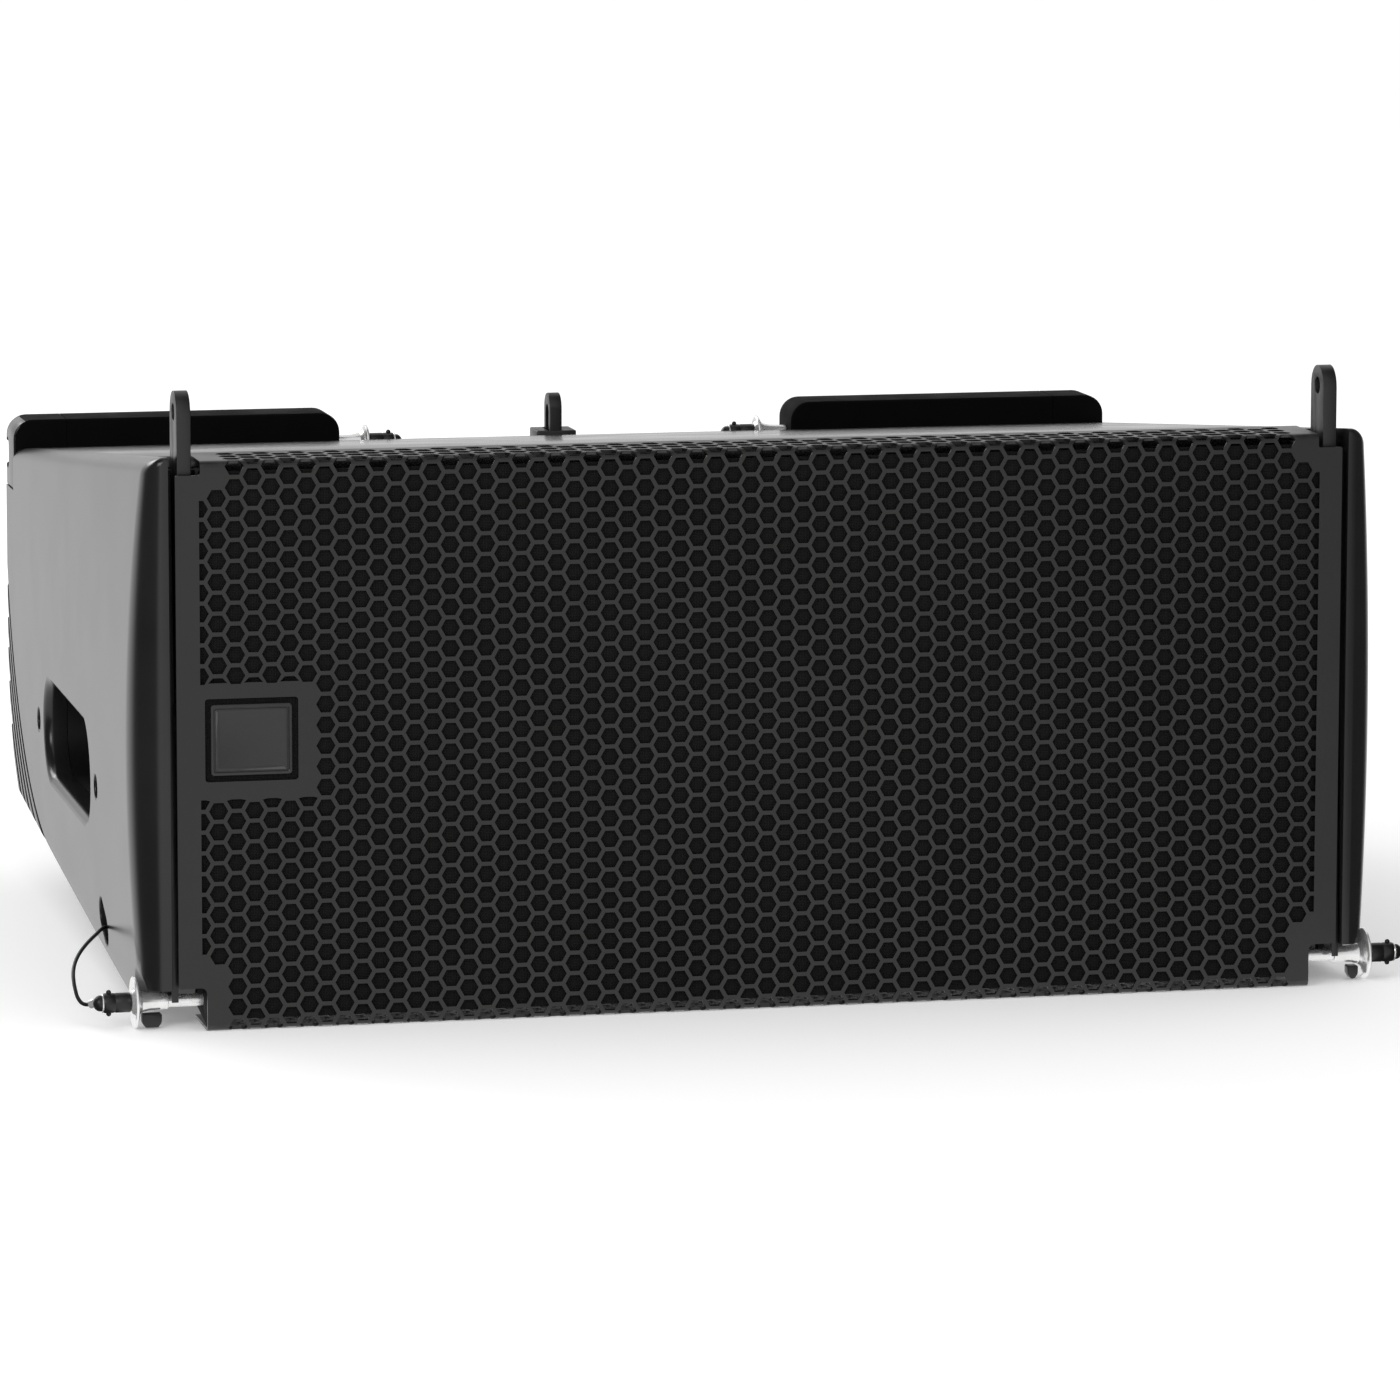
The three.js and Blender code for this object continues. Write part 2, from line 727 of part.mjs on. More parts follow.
// The moulded cover of the lower rear edge has level grooves that meet the cheeks' arcs.
function makeRearCover() {
  const outer = rearCurve(coverLowZ, coverTopZ, rearY, 0, 14);
  const inner = rearCurve(coverLowZ, coverTopZ, rearY, coverThickness, 8).reverse();
  const cover = alongX([...outer, ...inner], -panelHalfWidth, panelHalfWidth);
  const grooves = [];
  for (let n = 1; n < louvreCount - 1; n += 1) {
    const radius = louvreArcRadius + n * louvrePitch;
    const reach = rearY - louvreArcY;
    const z = louvreArcZ - Math.sqrt(radius ** 2 - reach ** 2);
    const face = rearCurve(z, z + 1, rearY, 0, 1)[0][0];
    const groove = box(-panelHalfWidth - 1, panelHalfWidth + 1, face - 4, face + 12, z - 3, z + 3);
    grooves.push(groove);
  }
  return cut(cover, ...grooves);
}

add('rear_cover', makeRearCover(), 'cheek');

// ---------------------------------------------------------------- handle cups

function makeCup() {
  const outerX = cheekInnerX - gap;
  const innerX = outerX - handleDepth;
  const outline = stadium(handleY, handleZ, handleLength + 2 * cupWall, handleHeight + 2 * cupWall);
  const pocket = stadium(handleY, handleZ, handleLength, handleHeight);
  return cut(alongX(outline, innerX, outerX), alongX(pocket, innerX + cupWall, outerX + 5));
}

addPair('handle_cup', makeCup(), 'grip');

// ---------------------------------------------------------------- grille, cloth and badge

function makeGrille() {
  const t = grilleThickness;
  const r = grilleBend;
  const h = grilleHeight;
  const q = Math.PI / 2;
  const bendSteps = 4;
  const outline = [
    [grilleReturn, 0],
    [grilleReturn, t],
    ...arc(r, r, r - t, 3 * q, 2 * q, bendSteps),
    ...arc(r, h - r, r - t, 2 * q, q, bendSteps),
    [grilleReturn, h - t],
    [grilleReturn, h],
    ...arc(r, h - r, r, q, 2 * q, bendSteps),
    ...arc(r, r, r, 2 * q, 3 * q, bendSteps),
  ];
  const sheet = alongX(outline, -halfGrille, halfGrille);
  const tools = [];
  for (const sign of [-1, 1]) {
    const notch = (width, z0, z1) => {
      const edge = sign * (halfGrille + 1);
      const inner = sign * (halfGrille - width);
      return box(Math.min(edge, inner), Math.max(edge, inner), -1, grilleReturn + 1, z0, z1);
    };
    tools.push(notch(linkNotchWidth, h - linkNotchDepth, h + 1));
    tools.push(notch(earNotchWidth, -1, earNotchHeight));
  }
  const w = (badgeWidth + badgeRecess) / 2;
  const v = (badgeHeight + badgeRecess) / 2;
  tools.push(box(badgeX - w, badgeX + w, -1, t + 0.4, badgeZ - v, badgeZ + v));
  return cut(sheet, ...tools);
}

add('grille', makeGrille(), 'grille');

const clothHalf = halfGrille - earNotchWidth - 0.4;
add(
  'grille_cloth',
  box(-clothHalf, clothHalf, grilleThickness + gap, bracketFrontY - gap, 5, grilleHeight - 5),
  'foam',
);

function makeBadge() {
  const w = badgeWidth / 2;
  const h = badgeHeight / 2;
  const rim = 2.2;
  const fieldY = badgeFrontY + 0.6;
  const outline = roundedBox(badgeX - w, badgeX + w, badgeZ - h, badgeZ + h, [1.5, 1.5, 1.5, 1.5]);
  const plaque = alongY(outline, badgeFrontY, grilleThickness);
  const field = box(badgeX - w + rim, badgeX + w - rim, -1, fieldY, badgeZ - h + rim, badgeZ + h - rim);
  return cut(plaque, field);
}

add('badge', makeBadge(), 'badge');

// ---------------------------------------------------------------- front rigging

// The bracket is a channel: an outer and an inner plate joined by a web, each plate
// ending in a rounded ear with a hole for the pin.
function makeBracket() {
  const shoulder = 14; // height over which the ear widens to the plate
  const outline = [
    [bracketFrontY, bracketTopZ],
    [bracketFrontY, pinZ],
    ...arc(pinY, pinZ, earRadius, Math.PI, 2 * Math.PI, 10),
    [bracketRearY, pinZ + shoulder],
    [bracketRearY, bracketTopZ],
  ];
  const plate = (x0, x1) => alongX(outline, x0, x1, [circle(pinY, pinZ, pinRadius + pinBore, 12)]);
  const web = box(
    innerEarInnerX,
    earOuterX,
    bracketRearY - bracketWeb,
    bracketRearY,
    pinZ + 1.5 * shoulder,
    bracketTopZ,
  );
  return join(plate(plateX, earOuterX), plate(innerEarInnerX, innerEarOuterX), web);
}

addPair('front_bracket', makeBracket(), 'rigging');

addPair(
  'link_guide',
  box(
    innerEarOuterX + gap,
    linkInnerX - gap,
    linkFrontY,
    bracketRearY - bracketWeb - gap,
    linkGuideZ,
    bracketTopZ - 10,
  ),
  'guide',
);

function linkOutline(y0, depth, top, length) {
  const radius = depth / 2;
  return [
    [y0, top - length],
    [y0 + depth, top - length],
    ...arc(y0 + radius, top - radius, radius, 0, Math.PI, 2 * arcSteps),
  ];
}

const eye = circle(pinY, linkTopZ - linkEyeDrop, linkEyeRadius, 16);
addPair(
  'front_link',
  alongX(linkOutline(linkFrontY, linkDepth, linkTopZ, linkLength), linkInnerX, linkOuterX, [eye]),
  'rigging',
);

// ---------------------------------------------------------------- quick-release pins

const flangeInner = collarLength;
const flangeOuter = flangeInner + flangeThickness;
const sleeveStart = flangeOuter + gap;
const sleeveEnd = sleeveStart + sleeveLength;

function makePinBody(flange) {
  const point = pinReach;
  return turnedX([
    [-point, 0],
    [-point, pinRadius - 0.9],
    [-point + 1, pinRadius],
    [gap, pinRadius],
    [gap, collarSmall],
    [flangeInner - 1.5, collarLarge],
    [flangeInner, flange - 3.5],
    [flangeInner + 0.6, flange],
    [flangeOuter - 0.8, flange],
    [flangeOuter - 1.6, sleeveRadius + 2],
    [flangeOuter, sleeveRadius + 0.6],
    [flangeOuter, 0],
  ]);
}

function makePinSleeve() {
  const r = sleeveRadius;
  const body = turnedX([
    [sleeveStart, 0],
    [sleeveStart, r],
    [sleeveEnd - 0.5, r],
    [sleeveEnd, r - 0.35],
    [sleeveEnd, 0],
  ]);
  const bump = (side) => new THREE.SphereGeometry(1.4, 8, 5).translate(sleeveEnd - 2.6, 0, side * r);
  const bore = turnedX([
    [sleeveEnd - buttonBoreDepth, 0],
    [sleeveEnd - buttonBoreDepth, buttonRadius + gap],
    [sleeveEnd + 1, buttonRadius + gap],
    [sleeveEnd + 1, 0],
  ]);
  return cut(join(body, bump(-1), bump(1)), bore);
}

function makePinButton() {
  const base = sleeveEnd - buttonSink;
  const tip = base + buttonHeight;
  const r = buttonRadius;
  return turnedX([
    [base, 0],
    [base, r],
    [base + 2.2, r],
    [base + 3.8, r * 0.86],
    [base + 5.1, r * 0.5],
    [tip, 0],
  ], 16);
}

// Each pin is laid along its own +X, which points out of the hole that it sits in.
function addPin(stem, x, y, z, outward, flange) {
  const pin = new THREE.Group();
  pin.position.set(x, y, z);
  pin.rotation.z = outward > 0 ? 0 : Math.PI;
  layout.add(pin);
  add(`${stem}_body`, makePinBody(flange), 'steel', pin);
  add(`${stem}_sleeve`, makePinSleeve(), 'grip', pin);
  add(`${stem}_button`, makePinButton(), 'grip', pin);
}

for (const [side, sign] of sides) {
  addPin(`front_pin_${side}`, sign * earOuterX, pinY, pinZ, sign, flangeRadius);
  addPin(`rear_pin_${side}`, sign * footInnerX, rearPinY, rearPinZ, -sign, rearFlangeRadius);
}

// ---------------------------------------------------------------- lanyard of the left front pin

// Ends of the ferrule, from the mouth of the pin's hole.
const ferruleEnds = [[-28.9, 7.3, -0.1], [-35.4, 10.4, -2.3]].map(([x, y, z]) => (
  new THREE.Vector3(x - earOuterX, pinY + y, pinZ + z)
));
const ferruleRadius = 2.2;
const lanyardDiameter = 1.8;
const lanyardPoints = [
  [-316.3, 25.15, 10.1],
  [-318.4, 26.9, 10.3],
  [-320.2, 30, 12.2],
  [-320.9, 34, 15.4],
  [-320.9, 39.5, 19],
  [-320, 46.5, 21.9],
  [-318.1, 54.5, 24.2],
  [-315.1, 64, 26.2],
  [-311, 75, 27.8],
  [-305.8, 88.5, 28.9],
  [-300.6, 102, 29.4],
  [-297.4, 111, 29.5],
  [-294, 117.2, 29.6],
  [-288.6, 121, 29.7],
  [-282, 122.2, 29.8],
  [-272, 122.4, 29.8],
  [-258, 122.4, 29.8],
  [-244, 122.4, 29.8],
];

function tube(path, radius, faces, steps) {
  const section = shapeOf(circle(0, 0, radius, faces));
  return new THREE.ExtrudeGeometry(section, { steps, bevelEnabled: false, extrudePath: path });
}

add('lanyard_ferrule', tube(new THREE.LineCurve3(...ferruleEnds), ferruleRadius, 12, 1), 'steel');

const lanyardPath = new THREE.CatmullRomCurve3(
  lanyardPoints.map((p) => new THREE.Vector3(...p)),
  false,
  'centripetal',
);
add('lanyard', tube(lanyardPath, lanyardDiameter / 2, 8, 36), 'rubber');

// A black tab hangs from each front pin's collar.
function makeTab(x0, x1) {
  const high = pinZ - collarLarge - gap;
  const low = 0.6;
  const chamfer = 1.6;
  return alongY(
    [[x0 + chamfer, low], [x1 - chamfer, low], [x1, low + 2.4], [x1, high], [x0, high], [x0, low + 2.4]],
    pinY - 3,
    pinY + 3,
  );
}

add('front_pin_left_tab', makeTab(-earOuterX - 12.6, -earOuterX - 3.4), 'grip');
add('front_pin_right_tab', makeTab(earOuterX + 7.4, earOuterX + 12.6), 'grip');

// ---------------------------------------------------------------- rear rigging

function makeFoot() {
  const inner = footInnerX;
  const outer = cheekOuterX(rearPinY, footTopZ) - 0.4;
  const r = footRadius;
  const low = ledgeZ + gap;
  const outline = roundedBox(inner, outer, low, footTopZ, [4, 0.5, r, r]);
  const foot = alongY(outline, topPanelEndY + 0.5, cabinetDepth);
  const boreOutline = circle(rearPinY, rearPinZ, pinRadius + pinBore, 12);
  const bore = alongX(boreOutline, inner - 1, inner + pinReach + footBoreSpare);
  const recessY = cabinetDepth - footRecessInset;
  const recessZ = ledgeZ + footRecessRise;
  const recessOutline = stadium(recessY, recessZ, footRecessLength, footRecessWidth, Math.PI / 2, 6);
  const endRecess = alongX(recessOutline, outer - footRecessDepth, outer + 2);
  return cut(foot, bore, endRecess);
}

addPair('rear_foot', makeFoot(), 'rubber');

function makeRearBracket() {
  const half = rearBracketWidth / 2;
  const y0 = rearY + gap;
  const y1 = y0 + rearBracketDepth;
  const outline = rectangle(-half, half, y0, y1);
  const slotHalf = rearLinkThickness / 2 + rearLinkClearance;
  const slotFront = rearLinkFrontY - rearLinkClearance;
  const slotRear = rearLinkFrontY + rearLinkDepth + rearLinkClearance;
  const slot = rectangle(-slotHalf, slotHalf, slotFront, slotRear);
  return alongZ(outline, rearBracketTopZ - rearBracketHeight, rearBracketTopZ, [slot]);
}

add('rear_link_bracket', makeRearBracket(), 'rigging');

function makeRearLink() {
  const outline = linkOutline(rearLinkFrontY, rearLinkDepth, rearLinkTopZ, rearLinkLength);
  const middle = rearLinkFrontY + rearLinkDepth / 2;
  const slotZ = rearLinkTopZ - rearLinkSlotDrop - rearLinkSlotLength / 2;
  const slot = stadium(middle, slotZ, rearLinkSlotLength, rearLinkSlotWidth, Math.PI / 2, arcSteps);
  const half = rearLinkThickness / 2;
  return alongX(outline, -half, half, [slot]);
}

add('rear_link', makeRearLink(), 'rigging');

// ---------------------------------------------------------------- connector plate

const plateMiddleZ = (coverTopZ + ledgeZ - ledgeThickness) / 2;

function makeConnectorPlate() {
  const w = connectorPlateWidth / 2;
  const h = connectorPlateHeight / 2;
  const outline = roundedBox(
    connectorPlateX - w,
    connectorPlateX + w,
    plateMiddleZ - h,
    plateMiddleZ + h,
    [2, 2, 2, 2],
  );
  const holes = [-1, 1].map((sign) => (
    circle(connectorPlateX + (sign * connectorSpacing) / 2, plateMiddleZ, connectorRadius, 20)
  ));
  const face = rearY - connectorPlateInset;
  return alongY(outline, face - connectorPlateThickness, face, holes);
}

add('connector_plate', makeConnectorPlate(), 'rigging');

function makeConnector(x) {
  const shell = connectorRadius - gap - 1.2;
  const face = rearY - 0.6;
  const back = face - connectorDepth;
  const floor = face - socketDepth;
  const coreTip = face - 3.4;
  const socket = shell - connectorWall;
  const barrel = turnedY([
    [back, 0],
    [back, shell],
    [face, shell],
    [face, socket],
    [floor, socket],
    [floor, socketCoreRadius],
    [coreTip, socketCoreRadius],
    [coreTip, 0],
  ], 24);
  return barrel.translate(x, 0, plateMiddleZ);
}

add('connector_in', makeConnector(connectorPlateX + connectorSpacing / 2), 'grip');
add('connector_link', makeConnector(connectorPlateX - connectorSpacing / 2), 'grip');

// ---------------------------------------------------------------- drivers

function makeBasket() {
  const f = baffleY - gap; // back of the mounting flange
  const t = 3;
  const back = f + basketDepth;
  const shell = turnedY([
    [f - t, wooferRadius - 14],
    [f - t, wooferRadius],
    [f, wooferRadius],
    [f, wooferHoleRadius - 1.5],
    [f + 24, wooferHoleRadius - 5],
    [back - 6, magnetRadius + 3],
    [back, magnetRadius + 3],
    [back, 30],
    [back - t, 30],
    [back - t, magnetRadius - 2],
    [f + 22, wooferHoleRadius - 9],
    [f - t, wooferRadius - 14],
  ], 24);
  const windows = [0, 1, 2, 3].map((i) => (
    box(48, 130, f + 30, back - 10, -24, 24).rotateY((Math.PI / 2) * i + Math.PI / 4)
  ));
  return cut(shell, ...windows);
}

// Cone, dust cap and voice coil former move as one piece.
function makeCone() {
  const front = baffleY - 2;
  const neck = front + coneDepth;
  const former = 27;
  return turnedY([
    [neck - 14, 0],
    [neck - 11, former / 2],
    [neck - 3, former - 1],
    [front, coneRadius - 1.6],
    [front, coneRadius],
    [front + 1.2, coneRadius],
    [neck + 0.5, former],
    [neck + 8, former],
    [neck + 8, former - 1.5],
    [neck - 1, former - 2],
    [neck - 9, former / 2 - 1],
    [neck - 12, 0],
  ], 24);
}

function makeSurround() {
  const y = baffleY - 3.6;
  const inner = coneRadius + 1.2;
  const outer = wooferRadius - surroundInset;
  const middle = (inner + outer) / 2;
  const roll = (outer - inner) / 2;
  const skin = 1.4;
  const crest = (radius, from, to) => arc(middle, 0, radius, from, to, 4).map(([r, h]) => [y - h, r]);
  const profile = [...crest(roll, Math.PI, 0), ...crest(roll - skin, 0, Math.PI)];
  profile.push(profile[0]);
  return turnedY(profile, 20);
}

function makeMagnet() {
  const y = baffleY - gap + basketDepth + gap;
  const floor = y + coilPocketDepth;
  return turnedY([
    [y, coilPocketRadius],
    [y, magnetRadius],
    [y + magnetThickness, magnetRadius],
    [y + magnetThickness, ventRadius],
    [floor, ventRadius],
    [floor, coilPocketRadius],
    [y, coilPocketRadius],
  ], 24);
}

for (const [side, sign] of sides) {
  const woofer = new THREE.Group();
  woofer.position.set(sign * wooferX, 0, frontMiddleZ);
  layout.add(woofer);
  add(`woofer_${side}_basket`, makeBasket(), 'rigging', woofer);
  add(`woofer_${side}_cone`, makeCone(), 'cone', woofer);
  add(`woofer_${side}_surround`, makeSurround(), 'rubber', woofer);
  add(`woofer_${side}_magnet`, makeMagnet(), 'magnet', woofer);
}

function makeHorn() {
  const y0 = baffleY - 2;
  const outerThroat = throatRadius + hornWall + hornThroatFlange;
  const ringAt = (y, w, h) => [[-w, y, -h], [w, y, -h], [w, y, h], [-w, y, h]];
  const outside = loft([
    ringAt(y0, hornHalfWidth + hornWall, hornHalfHeight + hornWall),
    ringAt(baffleY + baffleThickness, hornHalfWidth + hornWall, hornHalfHeight + hornWall),
    ringAt(y0 + hornDepth, outerThroat, outerThroat),
  ]);
  const inside = loft([
    ringAt(y0 - 1, hornHalfWidth, hornHalfHeight),
    ringAt(y0 + hornLip, hornHalfWidth - 4, hornHalfHeight),
    ringAt(y0 + hornDepth + 1, throatRadius * 0.7, throatRadius * 0.7),
  ]);
  return cut(outside, inside);
}

add('horn', makeHorn().translate(0, 0, frontMiddleZ), 'grip');

const hornBackY = baffleY - 2 + hornDepth;
const hornDriver = turnedY([
  [hornBackY + gap, 0],
  [hornBackY + gap, hornDriverRadius - 12],
  [hornBackY + 8, hornDriverRadius],
  [hornBackY + hornDriverLength - 6, hornDriverRadius],
  [hornBackY + hornDriverLength, hornDriverRadius - 8],
  [hornBackY + hornDriverLength, 0],
], 24);
add('horn_driver', hornDriver.translate(0, 0, frontMiddleZ), 'magnet');

// ---------------------------------------------------------------- crossover

function makeCrossover() {
  const tilt = Math.atan(bottomSlope);
  const coil = (radius, height, x, y) => (
    turnedY([[0, 0], [0, radius], [height, radius], [height, 0]], 16).rotateX(Math.PI / 2).translate(x, y, 1)
  );
  const board = box(-boardHalfLength, boardHalfLength, -boardHalfWidth, boardHalfWidth, 0, boardThickness);
  const capacitor = box(30, 76, 4, 24, 1, 19);
  const whole = join(board, coil(coilRadius, 18, -45, 5), coil(smallCoilRadius, 14, 8, -14), capacitor);
  return whole.rotateX(tilt).translate(0, crossoverY, insideBottom(crossoverY) + 6);
}

add('crossover_board', makeCrossover(), 'board');

// ---------------------------------------------------------------- origin

layout.position.set(0, -overallDepth / 2, 0);
speaker.updateMatrixWorld(true);

export default speaker;
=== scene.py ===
import json
from math import cos, pi, radians, sin, sqrt, tan

import bmesh
import bpy
from mathutils import Matrix, Vector
from mathutils.geometry import delaunay_2d_cdt

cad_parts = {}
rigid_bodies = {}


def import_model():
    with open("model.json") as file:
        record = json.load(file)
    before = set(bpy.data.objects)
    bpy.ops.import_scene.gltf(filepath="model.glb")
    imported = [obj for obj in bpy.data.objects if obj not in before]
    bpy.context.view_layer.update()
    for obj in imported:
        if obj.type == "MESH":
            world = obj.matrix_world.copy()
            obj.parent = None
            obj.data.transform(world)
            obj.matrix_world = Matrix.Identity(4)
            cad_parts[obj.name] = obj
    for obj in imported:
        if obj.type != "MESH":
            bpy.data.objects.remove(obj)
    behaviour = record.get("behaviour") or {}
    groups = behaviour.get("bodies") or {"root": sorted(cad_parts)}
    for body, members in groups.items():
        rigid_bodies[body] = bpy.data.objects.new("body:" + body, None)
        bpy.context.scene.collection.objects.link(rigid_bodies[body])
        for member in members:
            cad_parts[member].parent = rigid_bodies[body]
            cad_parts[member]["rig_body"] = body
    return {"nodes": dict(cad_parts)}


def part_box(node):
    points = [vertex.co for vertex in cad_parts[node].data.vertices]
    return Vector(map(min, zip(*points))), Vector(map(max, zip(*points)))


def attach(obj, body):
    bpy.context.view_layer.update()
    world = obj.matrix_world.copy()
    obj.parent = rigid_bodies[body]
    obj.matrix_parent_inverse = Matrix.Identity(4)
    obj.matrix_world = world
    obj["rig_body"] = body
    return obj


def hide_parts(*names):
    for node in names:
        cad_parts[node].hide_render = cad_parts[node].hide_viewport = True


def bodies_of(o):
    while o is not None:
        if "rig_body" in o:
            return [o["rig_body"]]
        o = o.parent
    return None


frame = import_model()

# Lengths are in millimetres as in the part's own layout: x across the front, y from the grille's
# face into the cabinet, z up from its lower edge. at() turns them into the frame's metres.

MM = 0.001
FRONT_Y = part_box("grille")[0][1]
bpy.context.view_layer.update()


def at(x, y, z):
    return Vector((x * MM, FRONT_Y + y * MM, z * MM))


def span(node):
    """x0, x1, y0, y1, z0, z1 of a CAD node, in millimetres."""
    low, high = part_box(node)
    ys = [(v - FRONT_Y) / MM for v in (low[1], high[1])]
    return low[0] / MM, high[0] / MM, ys[0], ys[1], low[2] / MM, high[2] / MM


def middle(node):
    """y and z of the middle of a CAD node."""
    _, _, y0, y1, z0, z1 = span(node)
    return (y0 + y1) / 2, (z0 + z1) / 2


def placed(name, data):
    obj = bpy.data.objects.new(name, data)
    bpy.context.scene.collection.objects.link(obj)
    return obj


def body_of(node):
    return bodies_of(frame["nodes"][node])[0]


# ---------------- camera

CAMERA_PLACE = (-0.8253, -3.7089, 0.6772)
CAMERA_AZIMUTH = radians(12.907)
CAMERA_DOWN = radians(8.4925)
CAMERA_ROLL = radians(0.106)
CAMERA_LENS = 198.76
CAMERA_SENSOR = 36.0


def make_camera():
    forward = Vector((
        sin(CAMERA_AZIMUTH) * cos(CAMERA_DOWN),
        cos(CAMERA_AZIMUTH) * cos(CAMERA_DOWN),
        -sin(CAMERA_DOWN),
    ))
    level = Vector((cos(CAMERA_AZIMUTH), -sin(CAMERA_AZIMUTH), 0))
    upright = level.cross(forward)
    right = level * cos(CAMERA_ROLL) + upright * sin(CAMERA_ROLL)
    up = upright * cos(CAMERA_ROLL) - level * sin(CAMERA_ROLL)
    data = bpy.data.cameras.new("camera")
    data.lens = CAMERA_LENS
    data.sensor_width = CAMERA_SENSOR
    data.clip_end = 200
    camera = placed("camera", data)
    turn = Matrix((right, up, -forward)).transposed().to_4x4()
    camera.matrix_world = Matrix.Translation(CAMERA_PLACE) @ turn
    bpy.context.scene.camera = camera


# ---------------- materials

class Nodes:
    """A material's node tree, with short ways to add the nodes that the finishes share."""

    def __init__(self, name):
        self.material = bpy.data.materials.new(name)
        self.material.use_nodes = True
        self.tree = self.material.node_tree
        self.shader = self.tree.nodes["Principled BSDF"]
        self.place = self.tree.nodes.new("ShaderNodeTexCoord").outputs["Object"]

    @classmethod
    def on(cls, tree):
        """The same short ways on a tree that isn't a material's."""
        nodes = cls.__new__(cls)
        tree.nodes.clear()
        nodes.tree = tree
        return nodes

    def mixed(self, share, low, high):
        """One number from two by a share."""
        node = self.add("ShaderNodeMix", data_type="FLOAT")
        for name, value in (("Factor", share), ("A", low), ("B", high)):
            if isinstance(value, (int, float)):
                node.inputs[name].default_value = value
            else:
                self.link(value, node.inputs[name])
        return node.outputs["Result"]

    def add(self, kind, **settings):
        node = self.tree.nodes.new(kind)
        for key, value in settings.items():
            setattr(node, key, value)
        return node

    def link(self, output, target):
        self.tree.links.new(output, target)

    def stretched(self, scale):
        node = self.add("ShaderNodeMapping")
        node.inputs["Scale"].default_value = scale
        self.link(self.place, node.inputs["Vector"])
        return node.outputs["Vector"]

    def noise(self, scale, detail=2.0, vector=None):
        node = self.add("ShaderNodeTexNoise")
        node.inputs["Scale"].default_value = scale
        node.inputs["Detail"].default_value = detail
        self.link(vector or self.place, node.inputs["Vector"])
        return node.outputs["Fac"]

    def cells(self, scale):
        node = self.add("ShaderNodeTexVoronoi", feature="SMOOTH_F1")
        node.inputs["Scale"].default_value = scale
        self.link(self.place, node.inputs["Vector"])
        return node.outputs["Distance"]

    def waves(self, scale, direction, distortion=0.0, vector=None):
        node = self.add("ShaderNodeTexWave", bands_direction=direction)
        node.inputs["Scale"].default_value = scale
        node.inputs["Distortion"].default_value = distortion
        self.link(vector or self.place, node.inputs["Vector"])
        return node.outputs["Fac"]

    def spread(self, value, low, high, start=0.3, end=0.7):
        node = self.add("ShaderNodeMapRange", interpolation_type="SMOOTHSTEP")
        node.inputs["From Min"].default_value = start
        node.inputs["From Max"].default_value = end
        node.inputs["To Min"].default_value = low
        node.inputs["To Max"].default_value = high
        self.link(value, node.inputs["Value"])
        return node.outputs["Result"]

    def maths(self, operation, a, b):
        node = self.add("ShaderNodeMath", operation=operation)
        for socket, value in zip(node.inputs, (a, b)):
            if isinstance(value, (int, float)):
                socket.default_value = value
            else:
                self.link(value, socket)
        return node.outputs["Value"]

    def between(self, value, dark, light, start=0.3, end=0.7):
        node = self.add("ShaderNodeValToRGB")
        low, high = node.color_ramp.elements
        low.position, low.color = start, (*dark, 1)
        high.position, high.color = end, (*light, 1)
        self.link(value, node.inputs["Fac"])
        return node.outputs["Color"]

    def worn(self, colour, bare, start=0.56, end=0.66):
        """Colour gives way to the bare one along edges that stick out."""
        edge = self.add("ShaderNodeNewGeometry").outputs["Pointiness"]
        patchy = self.maths("MULTIPLY", self.spread(edge, 0, 1, start, end), self.noise(90, 4))
        mix = self.add("ShaderNodeMix", data_type="RGBA")
        self.link(self.spread(patchy, 0, 1, 0.3, 0.6), mix.inputs["Factor"])
        self.link(colour, mix.inputs[6])
        mix.inputs[7].default_value = (*bare, 1)
        return mix.outputs[2]

    def bump(self, height, depth, strength=1.0, under=None):
        node = self.add("ShaderNodeBump")
        node.inputs["Strength"].default_value = strength
        node.inputs["Distance"].default_value = depth * MM
        self.link(height, node.inputs["Height"])
        if under:
            self.link(under, node.inputs["Normal"])
        return node.outputs["Normal"]

    def finish(self, colour=None, roughness=None, normal=None, **fixed):
        for key, value in fixed.items():
            self.shader.inputs[key.replace("_", " ")].default_value = value
        for socket, value in (("Base Color", colour), ("Roughness", roughness), ("Normal", normal)):
            if value:
                self.link(value, self.shader.inputs[socket])
        return self.material


def grey(value, warm=1.0):
    return (value * warm, value, value / warm)


def moulded(name, shade, rough, grain, depth, cloudy=0.03, level=0.5):
    """Moulded or painted plastic: a fine eroded grain with a faint cloudiness."""
    n = Nodes(name)
    cloud = n.noise(26, 4)
    colour = n.between(cloud, grey(shade * 0.88), grey(shade * 1.14))
    roughness = n.spread(cloud, rough - cloudy, rough + cloudy)
    normal = n.bump(n.cells(grain), depth, under=n.bump(n.noise(grain * 2.3), depth * 0.5))
    return n.finish(colour, roughness, normal, Specular_IOR_Level=level)


def coated(name, shade, rough, bare, warm=1.0, metallic=0.0, level=0.5):
    """Powder-coated metal with a little orange peel and rubbed edges."""
    n = Nodes(name)
    cloud = n.noise(40, 5)
    colour = n.worn(n.between(cloud, grey(shade * 0.9, warm), grey(shade * 1.12, warm)), grey(bare))
    normal = n.bump(n.noise(1900, 3), 0.05, under=n.bump(n.noise(480, 2), 0.04))
    roughness = n.spread(cloud, rough - 0.05, rough + 0.06)
    return n.finish(colour, roughness, normal, Metallic=metallic, Specular_IOR_Level=level)


